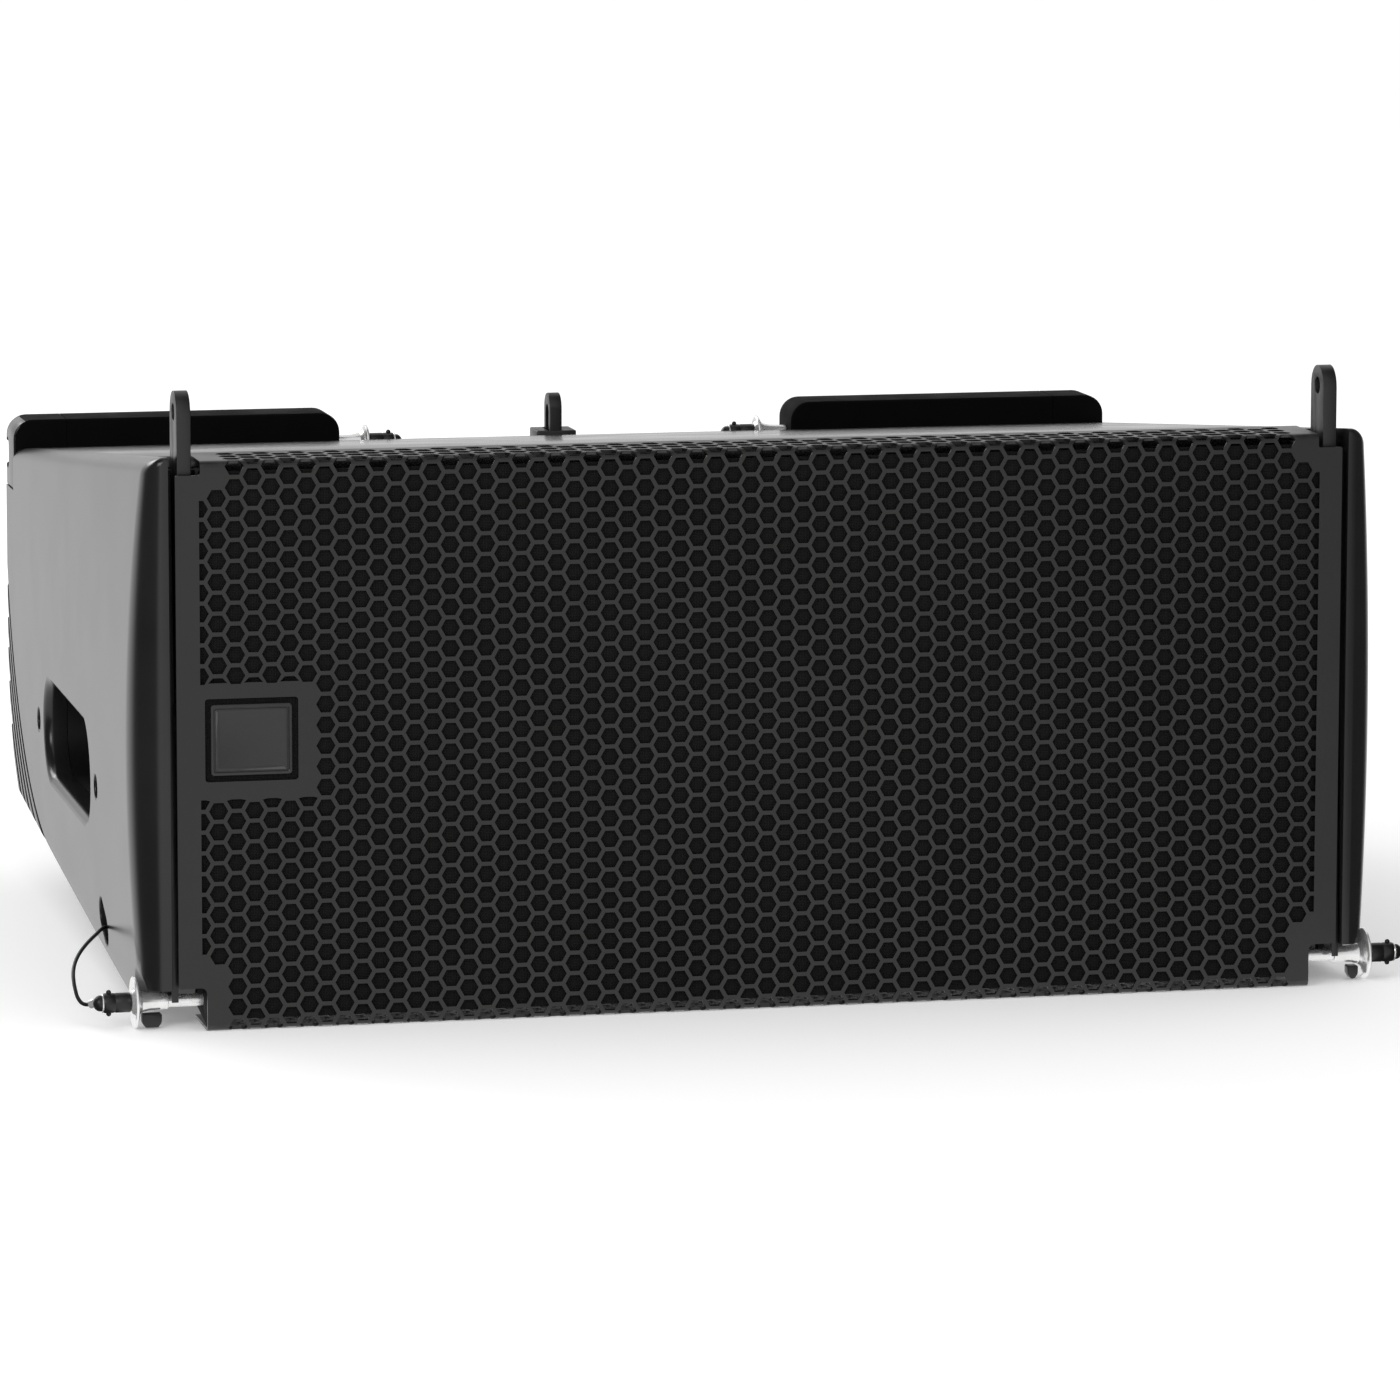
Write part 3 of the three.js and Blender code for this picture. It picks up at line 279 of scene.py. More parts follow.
def turned(name, shade, rough):
    """Bright turned steel, with fine tool lines round its axis."""
    n = Nodes(name)
    lines = n.noise(1, 3, n.stretched((5200, 12, 12)))
    stain = n.noise(160, 4)
    colour = n.between(stain, grey(shade * 0.93, 1.01), grey(shade * 1.03, 1.0))
    roughness = n.spread(stain, rough - 0.04, rough + 0.08)
    return n.finish(colour, roughness, n.bump(lines, 0.012), Metallic=0.75)


def woven(name, shade, rough):
    """Open acoustic cloth, two sets of threads that cross."""
    n = Nodes(name)
    across = n.waves(420, "X", 0.6)
    along = n.waves(420, "Z", 0.6)
    threads = n.maths("MAXIMUM", across, along)
    colour = n.between(threads, grey(shade * 0.45), grey(shade * 1.3, 1.02), 0.2, 0.95)
    tone = n.noise(35, 3)
    roughness = n.spread(tone, rough - 0.04, rough + 0.04)
    return n.finish(colour, roughness, n.bump(threads, 0.25), Specular_IOR_Level=0.15)


def rubbery(name, shade, rough):
    n = Nodes(name)
    dust = n.noise(70, 5)
    colour = n.between(dust, grey(shade * 0.85), grey(shade * 1.25), 0.35, 0.75)
    normal = n.bump(n.noise(1400, 4), 0.06)
    return n.finish(colour, n.spread(dust, rough - 0.05, rough + 0.08), normal, Specular_IOR_Level=0.06)


def braided(name, shade, rough):
    """Plastic-coated wire rope: the lay of the strands shows through."""
    n = Nodes(name)
    lay = n.waves(330, "DIAGONAL", 0.3)
    colour = n.between(lay, grey(shade * 0.6), grey(shade * 1.3), 0.2, 0.9)
    return n.finish(colour, n.spread(lay, rough - 0.06, rough + 0.06), n.bump(lay, 0.12))


def pulp(name, shade, rough):
    """Pressed paper cone with fibres."""
    n = Nodes(name)
    fibres = n.noise(1, 4, n.stretched((900, 300, 420)))
    colour = n.between(fibres, grey(shade * 0.7), grey(shade * 1.5))
    return n.finish(colour, n.spread(fibres, rough - 0.05, rough + 0.05), n.bump(fibres, 0.2))


def veneered(name):
    """Bare birch plywood with its grain."""
    n = Nodes(name)
    grain = n.waves(14, "Y", 9.0, n.stretched((1, 1, 5)))
    colour = n.between(grain, (0.30, 0.19, 0.09), (0.45, 0.31, 0.17), 0.1, 0.9)
    return n.finish(colour, n.spread(grain, 0.62, 0.75), n.bump(grain, 0.1))


def laminate(name):
    """Circuit board: green mask over copper runs."""
    n = Nodes(name)
    runs = n.add("ShaderNodeTexBrick")
    runs.inputs["Scale"].default_value = 60
    runs.inputs["Color1"].default_value = (0.012, 0.11, 0.05, 1)
    runs.inputs["Color2"].default_value = (0.016, 0.16, 0.07, 1)
    runs.inputs["Mortar"].default_value = (0.03, 0.24, 0.1, 1)
    n.link(n.place, runs.inputs["Vector"])
    flecks = n.noise(300, 2)
    return n.finish(runs.outputs["Color"], n.spread(flecks, 0.32, 0.45), n.bump(runs.outputs["Fac"], 0.05))


MATERIALS = {
    "cabinet": moulded("cabinet", 0.012, 0.2, 620, 0.02, level=0.9),
    "cheek": moulded("cheek", 0.010, 0.24, 900, 0.008, cloudy=0.006),
    "grille": coated("grille", 0.009, 0.34, 0.03, 1.03),
    "foam": woven("foam", 0.009, 0.95),
    "badge": coated("badge", 0.016, 0.38, 0.05),
    "rigging": coated("rigging", 0.010, 0.36, 0.05, 1.03),
    "steel": turned("steel", 0.92, 0.2),
    "grip": moulded("grip", 0.007, 0.36, 800, 0.03),
    "rubber": rubbery("rubber", 0.0025, 0.7),
    "lanyard": braided("lanyard", 0.008, 0.4),
    "cone": pulp("cone", 0.014, 0.8),
    "magnet": coated("magnet", 0.10, 0.4, 0.2, metallic=0.6),
    "plywood": veneered("plywood"),
    "board": laminate("board"),
    # Painted shade: a darker, duller copy of the rigging finish for the brackets' inner plates, standing for
    # the shadow in the narrow gap where they sit.
    "rigging_painted_shade": coated("rigging_painted_shade", 0.004, 0.75, 0.01, level=0.15),
    "guide": moulded("guide", 0.03, 0.45, 500, 0.04),
    "screw": coated("screw", 0.012, 0.35, 0.15, metallic=0.3),
}


def dress_frame():
    """Every CAD node gets the procedural finish of its own slot."""
    for node in frame["nodes"].values():
        for slot in node.material_slots:
            stem = slot.material.name.split(".")[0]
            slot.material = MATERIALS[stem]


# ---------------- mesh helpers

def mesh_of(bm, name, smooth=34):
    """Shares vertices, turns the faces outwards and shades smoothly up to an angle in degrees."""
    bmesh.ops.remove_doubles(bm, verts=bm.verts, dist=1e-7)
    bmesh.ops.dissolve_degenerate(bm, edges=bm.edges, dist=1e-7)
    bmesh.ops.recalc_face_normals(bm, faces=bm.faces)
    mesh = bpy.data.meshes.new(name)
    bm.to_mesh(mesh)
    bm.free()
    mesh.shade_smooth()
    mesh.set_sharp_from_angle(angle=radians(smooth))
    return mesh


def piece(name, mesh, body, slot, *replaced):
    obj = placed(name, mesh)
    mesh.materials.clear()
    mesh.materials.append(MATERIALS[slot])
    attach(obj, body)
    if replaced:
        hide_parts(*replaced)
    return obj


def dress(obj, finish):
    """Another finish than that of the piece's slot."""
    obj.data.materials.clear()
    obj.data.materials.append(MATERIALS[finish])


def add_loft(bm, rings):
    """Closes a row of rings of points, each with the same count, into one body."""
    rows = [[bm.verts.new(at(*p)) for p in ring] for ring in rings]
    count = len(rows[0])
    for near, far in zip(rows, rows[1:]):
        for i in range(count):
            j = (i + 1) % count
            bm.faces.new((near[i], near[j], far[j], far[i]))
    bm.faces.new(rows[0][::-1])
    bm.faces.new(rows[-1])


def loft(name, rings, smooth=34):
    bm = bmesh.new()
    add_loft(bm, rings)
    return mesh_of(bm, name, smooth)


def add_lathe(bm, profile, axis, centre, steps=64):
    """Turns [along, radius] pairs about the x or the y axis through a centre (x, y, z)."""
    cx, cy, cz = centre
    rows = []
    for along, radius in profile:
        row = []
        for i in range(1 if radius < 1e-6 else steps):
            u = radius * cos(2 * pi * i / steps)
            v = radius * sin(2 * pi * i / steps)
            spot = (along, cy + u, cz + v) if axis == "x" else (cx + u, along, cz + v)
            row.append(bm.verts.new(at(*spot)))
        rows.append(row)
    for near, far in zip(rows, rows[1:]):
        if len(near) == 1 and len(far) == 1:
            continue
        for i in range(steps):
            j = (i + 1) % steps
            ring = [near[i % len(near)], near[j % len(near)], far[j % len(far)], far[i % len(far)]]
            bm.faces.new(list(dict.fromkeys(ring)))


def lathe(name, profile, axis, centre, steps=64):
    bm = bmesh.new()
    add_lathe(bm, profile, axis, centre, steps)
    return mesh_of(bm, name, 30)


def arc(u, v, radius, start, end, steps):
    """Points of an arc, its angles in degrees."""
    turn = [radians(start + (end - start) * i / steps) for i in range(steps + 1)]
    return [(u + radius * cos(t), v + radius * sin(t)) for t in turn]


def rounded(u0, u1, v0, v1, radii, steps=8):
    """Outline of a rectangle with its own radius at low left, low right, high right, high left."""
    a, b, c, d = radii
    return (
        arc(u0 + a, v0 + a, a, 180, 270, steps)
        + arc(u1 - b, v0 + b, b, 270, 360, steps)
        + arc(u1 - c, v1 - c, c, 0, 90, steps)
        + arc(u0 + d, v1 - d, d, 90, 180, steps)
    )


def stadium(u, v, length, height, tilt=0.0, steps=24, outset=0.0):
    """A slot with round ends, wider all round by outset."""
    half = (length - height) / 2
    radius = height / 2 + outset
    points = arc(half, 0, radius, -90, 90, steps) + arc(-half, 0, radius, 90, 270, steps)
    c, s = cos(tilt), sin(tilt)
    return [(u + a * c - b * s, v + a * s + b * c) for a, b in points]


def fillet(radius, steps=7, start=8):
    """[outset, depth] pairs of a rounded edge, from the face down to the wall of an opening."""
    turn = [radians(start + (90 - start) * i / steps) for i in range(steps + 1)]
    return [(radius * (1 - sin(t)), radius * (1 - cos(t))) for t in turn]


def smoothed(points, rounds=2):
    """Rounds a row of points off by cutting its corners."""
    for _ in range(rounds):
        cut = [points[0]]
        for (a, b), (c, d) in zip(points, points[1:]):
            cut += [(0.75 * a + 0.25 * c, 0.75 * b + 0.25 * d), (0.25 * a + 0.75 * c, 0.25 * b + 0.75 * d)]
        points = cut + [points[-1]]
    return points


def carve(mesh, cutters, name, smooth=34):
    """Cuts one mesh by another and returns the result."""
    body, tool = placed(name, mesh), placed(name + ".tool", cutters)
    cut = body.modifiers.new("cut", "BOOLEAN")
    cut.operation = "DIFFERENCE"
    cut.solver = "EXACT"
    cut.object = tool
    graph = bpy.context.evaluated_depsgraph_get()
    result = bpy.data.meshes.new_from_object(body.evaluated_get(graph))
    for obj in (body, tool):
        bpy.data.objects.remove(obj)
    bm = bmesh.new()
    bm.from_mesh(result)
    return mesh_of(bm, name, smooth)


def soften(bm, width, segments, angle=28, merge=True):
    """Rounds the edges that turn by more than an angle in degrees."""
    bmesh.ops.remove_doubles(bm, verts=bm.verts, dist=1e-6)
    if merge:
        bmesh.ops.dissolve_limit(bm, angle_limit=radians(0.5), verts=bm.verts, edges=bm.edges)
    sharp = [e for e in bm.edges if len(e.link_faces) == 2 and e.calc_face_angle(0) > radians(angle)]
    bmesh.ops.bevel(
        bm, geom=sharp, offset=width * MM, offset_type="OFFSET", segments=segments,
        profile=0.5, affect="EDGES", clamp_overlap=True, harden_normals=False,
    )


def refined(node, width, segments=2, smooth=34, angle=28):
    """A copy of a CAD node's shape with its corners softened, standing for the node."""
    bm = bmesh.new()
    bm.from_mesh(frame["nodes"][node].data)
    soften(bm, width, segments, angle)
    slot = frame["nodes"][node].material_slots[0].material.name.split(".")[0]
    return piece(node + "_body", mesh_of(bm, node, smooth), body_of(node), slot, node)


# ---------------- lanyard

LANYARD_DIAMETER = 1.8
LANYARD_ROUTE = [
    (-316.3, 25.15, 10.1),
    (-318.4, 26.9, 10.3),
    (-320.2, 30, 12.2),
    (-320.9, 34, 15.4),
    (-320.9, 39.5, 19),
    (-320, 46.5, 21.9),
    (-318.1, 54.5, 24.2),
    (-315.1, 64, 26.2),
    (-311, 75, 27.8),
    (-305.8, 88.5, 28.9),
    (-300.6, 102, 29.4),
    (-297.4, 111, 29.5),
    (-294, 117.2, 29.6),
    (-288.6, 121, 29.7),
    (-282, 122.2, 29.8),
    (-272, 122.4, 29.8),
    (-258, 122.4, 29.8),
    (-244, 122.4, 29.8),
]


def make_lanyard():
    """The wire that keeps the left front pin from getting lost."""
    start, end = Vector((-309.5, 21.9, 12.4)), Vector((-316.0, 25.15, 10.1))
    along = end - start
    side = along.cross(Vector((0, 0, 1))).normalized()
    rise = side.cross(along).normalized()
    profile = [(0, 1.2), (0.05, 1.75), (0.13, 2.1), (0.4, 2.2), (0.45, 1.95), (0.55, 1.95), (0.6, 2.2)]
    profile += [(0.88, 2.15), (0.97, 1.7), (1, 1.0)]
    rings = []
    for share, radius in profile:
        turn = [2 * pi * i / 32 for i in range(32)]
        rings.append([start + along * share + (side * cos(t) + rise * sin(t)) * radius for t in turn])
    ferrule = piece(
        "lanyard_ferrule_body", loft("lanyard_ferrule", rings), "front_pin_left", "steel", "lanyard_ferrule",
    )
    curve = bpy.data.curves.new("lanyard_wire", "CURVE")
    curve.dimensions = "3D"
    curve.bevel_depth = LANYARD_DIAMETER / 2 * MM
    curve.bevel_resolution = 5
    curve.resolution_u = 10
    curve.use_fill_caps = True
    spline = curve.splines.new("BEZIER")
    spline.bezier_points.add(len(LANYARD_ROUTE) - 1)
    for knot, spot in zip(spline.bezier_points, LANYARD_ROUTE):
        knot.co = at(*spot)
        knot.handle_left_type = knot.handle_right_type = "AUTO"
    wire = placed("lanyard_wire", curve)
    curve.materials.append(MATERIALS["lanyard"])
    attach(wire, "front_pin_left")
    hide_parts("lanyard")


# ---------------- grille, cloth and badge

GRILLE_T = 1.5
GRILLE_BEND = 3.0
GRILLE_RETURN = 36.0
GRILLE_HALF = span("grille")[1]
GRILLE_HIGH = span("grille")[5]
HEX_COLUMN = 8.349  # distance between columns of holes
HEX_ROW = 4.82  # half the distance between holes in a column
HEX_RADIUS = 4.45  # centre to corner
HEX_MIDDLE = 146.0  # height of the row that passes through the middle column
HEX_LIMIT = 266.9  # the outermost holes are cut straight here
TOP_NOTCH = (11.6, 6.4)
EAR_NOTCH = (13.3, 20.4)
BADGE_PLATE = (-212.6, 108.0, 162.0)  # solid area round the badge: right edge, bottom, top
BADGE_GAP = 2.75
EDGE_COLUMNS = {31: (33, 249), 32: (38, 244)}  # heights between which the outer columns have holes
CLOTH_CORNER = (18, 4)  # the cloth is cut back for the ears below and the links above
CLOTH_SWELL, CLOTH_RIPPLE = 0.45, 0.12


def fold(x, s, depth):
    """A point of the sheet: s runs up the front and on over both bends, depth goes into the metal."""
    r = GRILLE_BEND
    turn = r * pi / 2
    high = GRILLE_HIGH
    if s > high - r + turn:
        return x, r + s - (high - r + turn), high - depth
    if s > high - r:
        angle = (s - high + r) / r
        return x, r - (r - depth) * cos(angle), high - r + (r - depth) * sin(angle)
    if s < r - turn:
        return x, r + (r - turn) - s, depth
    if s < r:
        angle = (r - s) / r
        return x, r - (r - depth) * cos(angle), r - (r - depth) * sin(angle)
    return x, depth, s


def hexagon(x, s):
    return [(x + HEX_RADIUS * cos(t * pi / 3), s + HEX_RADIUS * sin(t * pi / 3)) for t in range(6)]


def grille_holes(low, high):
    """Outlines of the holes, with those beside the badge plate and the edges cut straight."""
    last = int(GRILLE_HALF / HEX_COLUMN)
    edge, plate_low, plate_high = BADGE_PLATE
    margin = HEX_ROW + 0.9
    rows = int((high - low) / HEX_ROW) + 2
    for k in range(-last + 1, last):
        for j in range(-rows, rows):
            x, s = k * HEX_COLUMN, HEX_MIDDLE + j * HEX_ROW
            if (k + j) % 2 or not low + margin < s < high - margin:
                continue
            bottom, top = EDGE_COLUMNS.get(abs(k), (low, high))
            if not bottom < s < top:
                continue
            hole = hexagon(x, s)
            if abs(k) == 32:
                hole = [(max(-HEX_LIMIT, min(HEX_LIMIT, u)), v) for u, v in hole]
            if x < edge and plate_low - 3 < s < plate_high + 3:
                if plate_low + 3 < s < plate_high - 3:
                    continue
                if s > plate_high - 3.5:
                    hole = [(u, max(v, plate_high)) for u, v in hole]
                else:
                    hole = [(u, min(v, plate_low)) for u, v in hole]
            clean = [p for i, p in enumerate(hole) if p != hole[i - 1]]
            if len(clean) > 2:
                yield clean


def sheet_outline(low, high):
    """The developed sheet, notched for the links and for the ears of the brackets."""
    half = GRILLE_HALF
    a, b = half - TOP_NOTCH[0], GRILLE_HIGH - TOP_NOTCH[1]
    c, d = half - EAR_NOTCH[0], EAR_NOTCH[1]
    right = [(c, low)] + [(c, d - 3)] + arc(c + 3, d - 3, 3, 180, 90, 6) + [(half - 0.8, d)]
    right += arc(half - 0.8, d + 0.8, 0.8, -90, 0, 3)
    right += arc(half - 0.8, b - 0.8, 0.8, 0, 90, 3) + arc(a + 1, b + 1, 1, 270, 180, 4) + [(a, high)]
    clean = [p for i, p in enumerate(right) if i == 0 or p != right[i - 1]]
    return clean + [(-x, s) for x, s in reversed(clean)]


def make_grille():
    turn = GRILLE_BEND * pi / 2
    flat = GRILLE_RETURN - GRILLE_BEND
    low = GRILLE_BEND - turn - flat
    high = GRILLE_HIGH - GRILLE_BEND + turn + flat
    verts, faces, edges = [], [], []

    def outline(points):
        faces.append(list(range(len(verts), len(verts) + len(points))))
        verts.extend(Vector(p) for p in points)

    outline(sheet_outline(low, high))
    for hole in grille_holes(low, high):
        outline(hole)
    bx0, bx1, _, _, bz0, bz1 = span("badge")
    g = BADGE_GAP
    outline(rounded(bx0 - g, bx1 + g, bz0 - g, bz1 + g, [1.5] * 4, 4))
    for share in range(9):
        for base in (GRILLE_BEND - turn, GRILLE_HIGH - GRILLE_BEND):
            s = base + turn * share / 8
            first = len(verts)
            verts.extend([Vector((-GRILLE_HALF - 1, s)), Vector((GRILLE_HALF + 1, s))])
            edges.append((first, first + 1))
    points, _, tris, _, _, owners = delaunay_2d_cdt(verts, edges, faces, 0, 1e-4, True)
    metal = [tri for tri, owner in zip(tris, owners) if owner == [0]]
    bm = bmesh.new()
    face_row = [bm.verts.new(at(*fold(p.x, p.y, 0))) for p in points]
    back_row = [bm.verts.new(at(*fold(p.x, p.y, GRILLE_T))) for p in points]
    seen = {}
    for tri in metal:
        bm.faces.new([face_row[i] for i in tri])
        bm.faces.new([back_row[i] for i in reversed(tri)])
        for i, j in zip(tri, tri[1:] + tri[:1]):
            seen[(i, j)] = True
    for i, j in seen:
        if (j, i) not in seen:
            bm.faces.new([face_row[j], face_row[i], back_row[i], back_row[j]])
    loose = [v for v in bm.verts if not v.link_faces]
    bmesh.ops.delete(bm, geom=loose, context="VERTS")
    return piece("grille_mesh", mesh_of(bm, "grille_mesh", 40), "root", "grille", "grille")


def make_cloth():
    """Thin acoustic cloth, stretched behind the grille, with a soft swell between its glued edges."""
    _, x1, y0, _, z0, z1 = span("grille_cloth")
    across, up = 88, 42
    skin = 0.5
    wide = HEX_LIMIT + 0.6
    bm = bmesh.new()
    rows = [[], []]
    for side in (0, 1):
        for j in range(up + 1):
            for i in range(across + 1):
                u, v = i / across, j / up
                z = z0 + (z1 - z0) * v
                reach = wide if z0 + CLOTH_CORNER[0] < z < z1 - CLOTH_CORNER[1] else x1
                swell = CLOTH_SWELL * sin(pi * u) * sin(pi * v)
                swell += CLOTH_RIPPLE * sin(9 * pi * u) * sin(5 * pi * v)
                y = y0 + 0.75 - swell + side * skin
                rows[side].append(bm.verts.new(at(reach * (2 * u - 1), y, z)))
    for side, cells in enumerate(rows):
        for j in range(up):
            for i in range(across):
                a = j * (across + 1) + i
                quad = [cells[a], cells[a + 1], cells[a + across + 2], cells[a + across + 1]]
                bm.faces.new(quad if side == 0 else quad[::-1])
    rim = [i for i in range(across + 1)]
    rim += [j * (across + 1) + across for j in range(1, up + 1)]
    rim += [up * (across + 1) + i for i in range(across - 1, -1, -1)]
    rim += [j * (across + 1) for j in range(up - 1, 0, -1)]
    for a, b in zip(rim, rim[1:] + rim[:1]):
        bm.faces.new([rows[0][a], rows[1][a], rows[1][b], rows[0][b]])
    cloth = piece("acoustic_cloth", mesh_of(bm, "acoustic_cloth"), "root", "foam", "grille_cloth")


def ring_xz(points, y):
    return [(x, y, z) for x, z in points]


def make_badge():
    """A blank plaque: a frame with a double rim, and a raised field in it."""
    x0, x1, y0, y1, z0, z1 = span("badge")

    def ring(inset, y, radius):
        return ring_xz(rounded(x0 + inset, x1 - inset, z0 + inset, z1 - inset, [radius] * 4), y)

    rings = [
        ring(0.0, y1, 1.6), ring(0.0, y0 + 0.5, 1.6), ring(0.15, y0 + 0.15, 1.5), ring(0.5, y0, 1.3),
        ring(1.15, y0, 1.0), ring(1.45, y0 + 0.2, 0.9), ring(1.6, y0 + 0.75, 0.8), ring(2.1, y0 + 0.75, 0.6),
        ring(2.25, y0 + 0.45, 0.6), ring(2.5, y0 + 0.35, 0.5), ring(3.6, y0 + 0.35, 0.4),
        ring(3.9, y0 + 0.5, 0.4),
    ]
    piece("badge_plaque", loft("badge_plaque", rings, 25), "root", "badge", "badge")


# ---------------- side cheeks

CHEEK_IN = span("cheek_right")[0]
CHEEK_THICK = 17.5
CHEEK_TAPER = 0.0183
CHEEK_CROWN = 3.8e-4
CHEEK_CROWN_Z = GRILLE_HIGH / 2 - 6.15
CHEEK_FLAT = 2.0
CHEEK_ROUND = 1.6
CHEEK_TOP_R = 9.0
CHEEK_LOW_R = 4.0
CHEEK_NOSE = 3.0
CHEEK_FRONT = 0.15
DEPTH = 480.0
TOP_RISE, TOP_SLOPE = 2.3, 0.1038
LOW_RISE, LOW_SLOPE = 2.8, 0.0865
FOOT_Y = 452.0
LEDGE_Z = span("rear_step")[4] + 12.0
COVER_TOP = span("rear_cover")[5]
REAR_ARC_Z = COVER_TOP - 20.0
REAR_TURN = 0.855
SCOOP_Y, SCOOP_Z, SCOOP_R = 37.0, 19.5, 8.0
LOUVRE_Y, LOUVRE_Z = DEPTH - 2 - 175.0, COVER_TOP + 81.0
LOUVRE_RADIUS, LOUVRE_PITCH, LOUVRE_COUNT = 190.5, 7.4, 7
LOUVRE_HALF, LOUVRE_DEEP, LOUVRE_SOFT = 1.75, 3.2, 0.4
HANDLE_SOFT = 4.5
LANYARD_SLOT = (127.0, 30.5, 28.5, 15.5, pi / 6)
CUT_HIGH, CUT_REAR, LEDGE_REAR = 320, 600, 700  # well clear of the cheek, for the cutters
FLARE = [(0, 6.9), (3, 7.3), (7, 8.6), (10, 10.6), (12, 12.8), (13.2, 15.0), (14.5, 18.5), (20, 30)]


def top_z(y):
    return GRILLE_HIGH + TOP_RISE - y * TOP_SLOPE


def low_z(y):
    return LOW_RISE + y * LOW_SLOPE


def outer_x(y, z):
    crown = CHEEK_CROWN * (z - CHEEK_CROWN_Z) ** 2 * (1 - y / DEPTH)
    return CHEEK_IN + CHEEK_THICK - CHEEK_TAPER * y - crown


def surface_x(y, z):
    full = outer_x(y, z)
    width = full - CHEEK_IN - CHEEK_FLAT
    depth = width * CHEEK_ROUND
    if y >= depth:
        return full
    return CHEEK_IN + CHEEK_FLAT + width * sqrt(1 - (1 - y / depth) ** 2)


def cheek_ring(y):
    drop = CHEEK_NOSE * (1 - sqrt(1 - (1 - y / CHEEK_NOSE) ** 2)) if y < CHEEK_NOSE else 0
    high, low = top_z(y) - drop, low_z(y)
    low_r = min(CHEEK_LOW_R, (surface_x(y, low) - CHEEK_IN) * 0.8)
    high_r = min(CHEEK_TOP_R, (surface_x(y, high) - CHEEK_IN) * 0.8)
    ring = [(CHEEK_IN, high), (CHEEK_IN, low)]
    for i in range(9):
        t = pi / 2 * i / 8
        z = low + low_r * (1 - cos(t))
        ring.append((surface_x(y, z) - low_r * (1 - sin(t)), z))
    for i in range(1, 40):
        z = low + low_r + (high - high_r - low - low_r) * i / 40
        ring.append((surface_x(y, z), z))
    for i in range(13):
        t = pi / 2 * i / 12
        z = high - high_r * (1 - sin(t))
        ring.append((surface_x(y, z) - high_r * (1 - cos(t)), z))
    return [(x, y, z) for x, z in ring]


def rear_arc():
    """Radius and lowest height of the curve that turns the rear face in to the underside."""
    inset = tan(REAR_TURN / 2)
    tall = (REAR_ARC_Z - low_z(DEPTH - 2)) / (1 - LOW_SLOPE * inset)
    return tall / sin(REAR_TURN), REAR_ARC_Z - tall


def rear_curve(start, end, edge, steps=24):
    radius = rear_arc()[0]
    points = []
    for i in range(steps + 1):
        z = start + (end - start) * i / steps
        below = max(0, REAR_ARC_Z - z)
        points.append((edge - radius + sqrt(max(0, radius ** 2 - below ** 2)), z))
    return points


def add_prism(bm, points, x0, x1):
    add_loft(bm, [[(x0, y, z) for y, z in points], [(x1, y, z) for y, z in points]])


def add_opening(bm, outline, soft, floor, clear=9.0):
    """A cutter whose walls open out in a rounded lip where they meet the cheek's face."""
    rings = [[(outer_x(y, z) + clear, y, z) for y, z in outline(fillet(soft)[0][0])]]
    for outset, deep in fillet(soft):
        rings.append([(outer_x(y, z) - deep, y, z) for y, z in outline(outset)])
    rings.append([(floor, y, z) for y, z in outline(0)])
    add_loft(bm, rings)


def add_louvre(bm, radius):
    """A curved groove with rounded edges, so that a row of them leaves round ribs."""
    half = LOUVRE_HALF
    lip = [(half + a, b) for a, b in fillet(LOUVRE_SOFT, 5)]
    side = [(lip[0][0], -6.0)] + lip + [(half, LOUVRE_DEEP)]
    profile = side + [(-a, b) for a, b in reversed(side)]
    rings = []
    for i in range(61):
        t = radians(-88 + 74 * i / 60)
        ring = []
        for across, deep in profile:
            y = LOUVRE_Y + (radius + across) * cos(t)
            z = LOUVRE_Z + (radius + across) * sin(t)
            ring.append((outer_x(y, z) - deep, y, z))
        rings.append(ring)
    add_loft(bm, rings)


def mirror(mesh, name, smooth=34):
    bm = bmesh.new()
    bm.from_mesh(mesh)
    bmesh.ops.scale(bm, vec=(-1, 1, 1), verts=bm.verts)
    bmesh.ops.reverse_faces(bm, faces=bm.faces)
    return mesh_of(bm, name, smooth)


CUP_WALL, CUP_ROUND = 3.0, 7


def handle_place():
    _, _, y0, y1, z0, z1 = span("handle_cup_right")
    return *middle("handle_cup_right"), y1 - y0 - 2 * CUP_WALL, z1 - z0 - 2 * CUP_WALL


